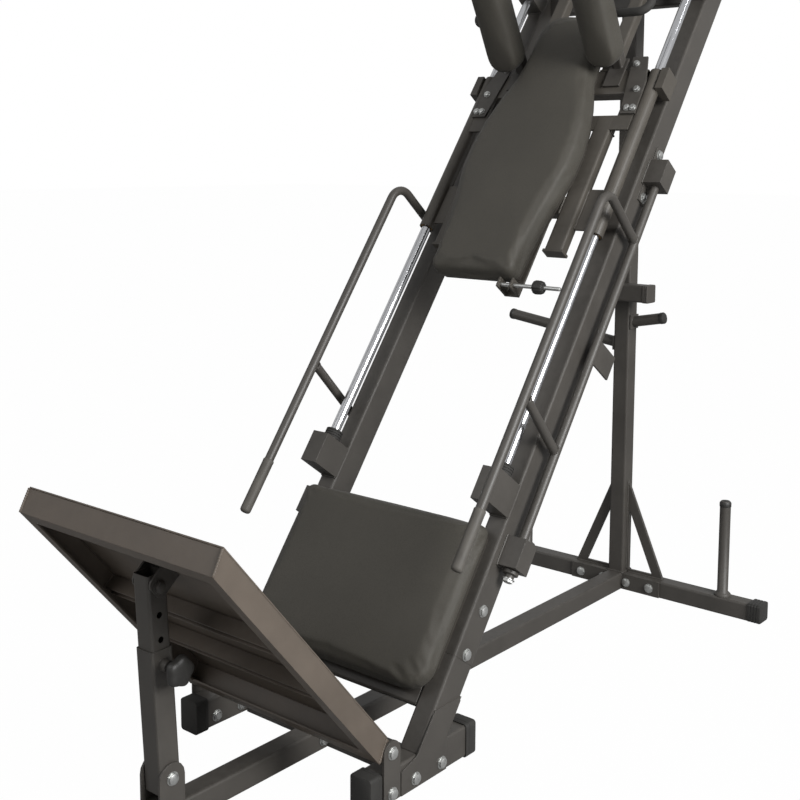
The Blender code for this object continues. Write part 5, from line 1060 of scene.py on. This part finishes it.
class LEGPRESS_OT_stage(Operator):
    """Pale floor, even studio light and the camera at the photograph's angle"""
    bl_idname = "legpress.stage"
    bl_label = "Set the stage"

    def execute(self, context):
        scene = context.scene
        studio = scene.leg_press_studio
        material = bpy.data.materials.new("white_studio_floor")
        tree = bare_tree(material)
        ray = add(tree, "ShaderNodeLightPath").outputs
        share = maths(tree, "MULTIPLY", ray["Is Camera Ray"], 0.99)
        paper = add(tree, "ShaderNodeBsdfDiffuse", {"Color": (0.40, 0.40, 0.40, 1)})
        glow = add(tree, "ShaderNodeEmission", {"Color": (1, 1, 1, 1), "Strength": 1.0})
        both = add(tree, "ShaderNodeMixShader", {0: share, 1: paper.outputs[0], 2: glow.outputs[0]})
        add(tree, "ShaderNodeOutputMaterial", {"Surface": both.outputs[0]})
        bm = bmesh.new()
        bmesh.ops.create_grid(bm, x_segments=1, y_segments=1, size=40)
        mesh = to_mesh("floor", bm)
        mesh.transform(Matrix.Translation((0, 0.8, -0.0005)))
        mesh.materials.append(material)
        floor = new_object("floor", mesh)

        world = bpy.data.worlds.new("studio")
        scene.world = world
        tree = bare_tree(world)
        ray = add(tree, "ShaderNodeLightPath").outputs
        soft, mirrored, white = (
            add(tree, "ShaderNodeBackground", {"Color": (1, 1, 1, 1), "Strength": strength}).outputs[0]
            for strength in (studio.sky, studio.gleam, 1.0))
        unseen = add(tree, "ShaderNodeMixShader", {0: ray["Is Glossy Ray"], 1: soft, 2: mirrored})
        both = add(tree, "ShaderNodeMixShader", {0: ray["Is Camera Ray"], 1: unseen.outputs[0], 2: white})
        add(tree, "ShaderNodeOutputWorld", {"Surface": both.outputs[0]})

        for name, place, size, power in (("key_light", (4.6, -0.2, 2.8), 2.2, studio.key_power),
                                         ("fill_light", (-1.5, -4.0, 3.5), 2.5, studio.fill_power)):
            lamp = bpy.data.lights.new(name, "AREA")
            lamp.energy, lamp.size = power, size
            facing = (LAMPS_AIM - Vector(place)).to_track_quat("-Z", "Y").to_matrix().to_4x4()
            new_object(name, lamp).matrix_world = Matrix.Translation(place) @ facing

        camera = bpy.data.cameras.new("camera")
        camera.lens = studio.focal
        camera.sensor_width = 36.0
        camera.shift_y = CAMERA_SHIFT
        camera.clip_end = 200
        camera.dof.use_dof = False
        scene.camera = new_object("camera", camera)
        scene.camera.matrix_world = CAMERA_PLACE
        scene.view_settings.view_transform = "Standard"
        return {"FINISHED"}


STEPS = (LEGPRESS_OT_stage, LEGPRESS_OT_steel, LEGPRESS_OT_rods, LEGPRESS_OT_handles, LEGPRESS_OT_loops,
         LEGPRESS_OT_pegs, LEGPRESS_OT_caps, LEGPRESS_OT_pins, LEGPRESS_OT_bolts, LEGPRESS_OT_welds,
         LEGPRESS_OT_tread, LEGPRESS_OT_pads)


class LEGPRESS_PT_panel(Panel):
    """Sizes, colours and steps of the leg press machine"""
    bl_idname = "LEGPRESS_PT_panel"
    bl_label = "Leg Press"
    bl_space_type = "VIEW_3D"
    bl_region_type = "UI"
    bl_category = "Leg Press"

    def draw(self, context):
        layout = self.layout
        for title, group in (("Colours", context.scene.leg_press_colours), ("Sizes", context.scene.leg_press_sizes),
                             ("Studio", context.scene.leg_press_studio)):
            box = layout.box()
            box.label(text=title)
            for word in group.__annotations__:
                box.prop(group, word)
        for step in STEPS:
            layout.operator(step.bl_idname)


CLASSES = (FinishColours, PieceSizes, StudioSettings) + STEPS + (LEGPRESS_PT_panel,)


def register():
    for item in CLASSES:
        bpy.utils.register_class(item)
    bpy.types.Scene.leg_press_colours = PointerProperty(type=FinishColours)
    bpy.types.Scene.leg_press_sizes = PointerProperty(type=PieceSizes)
    bpy.types.Scene.leg_press_studio = PointerProperty(type=StudioSettings)


def unregister():
    del bpy.types.Scene.leg_press_studio
    del bpy.types.Scene.leg_press_sizes
    del bpy.types.Scene.leg_press_colours
    for item in reversed(CLASSES):
        bpy.utils.unregister_class(item)


def corners(box):
    return [[float(v) for v in corner] for corner in box]


def main():
    register()
    for step in STEPS:
        group, word = step.bl_idname.split(".")
        getattr(getattr(bpy.ops, group), word)()


if __name__ == "__main__":
    main()
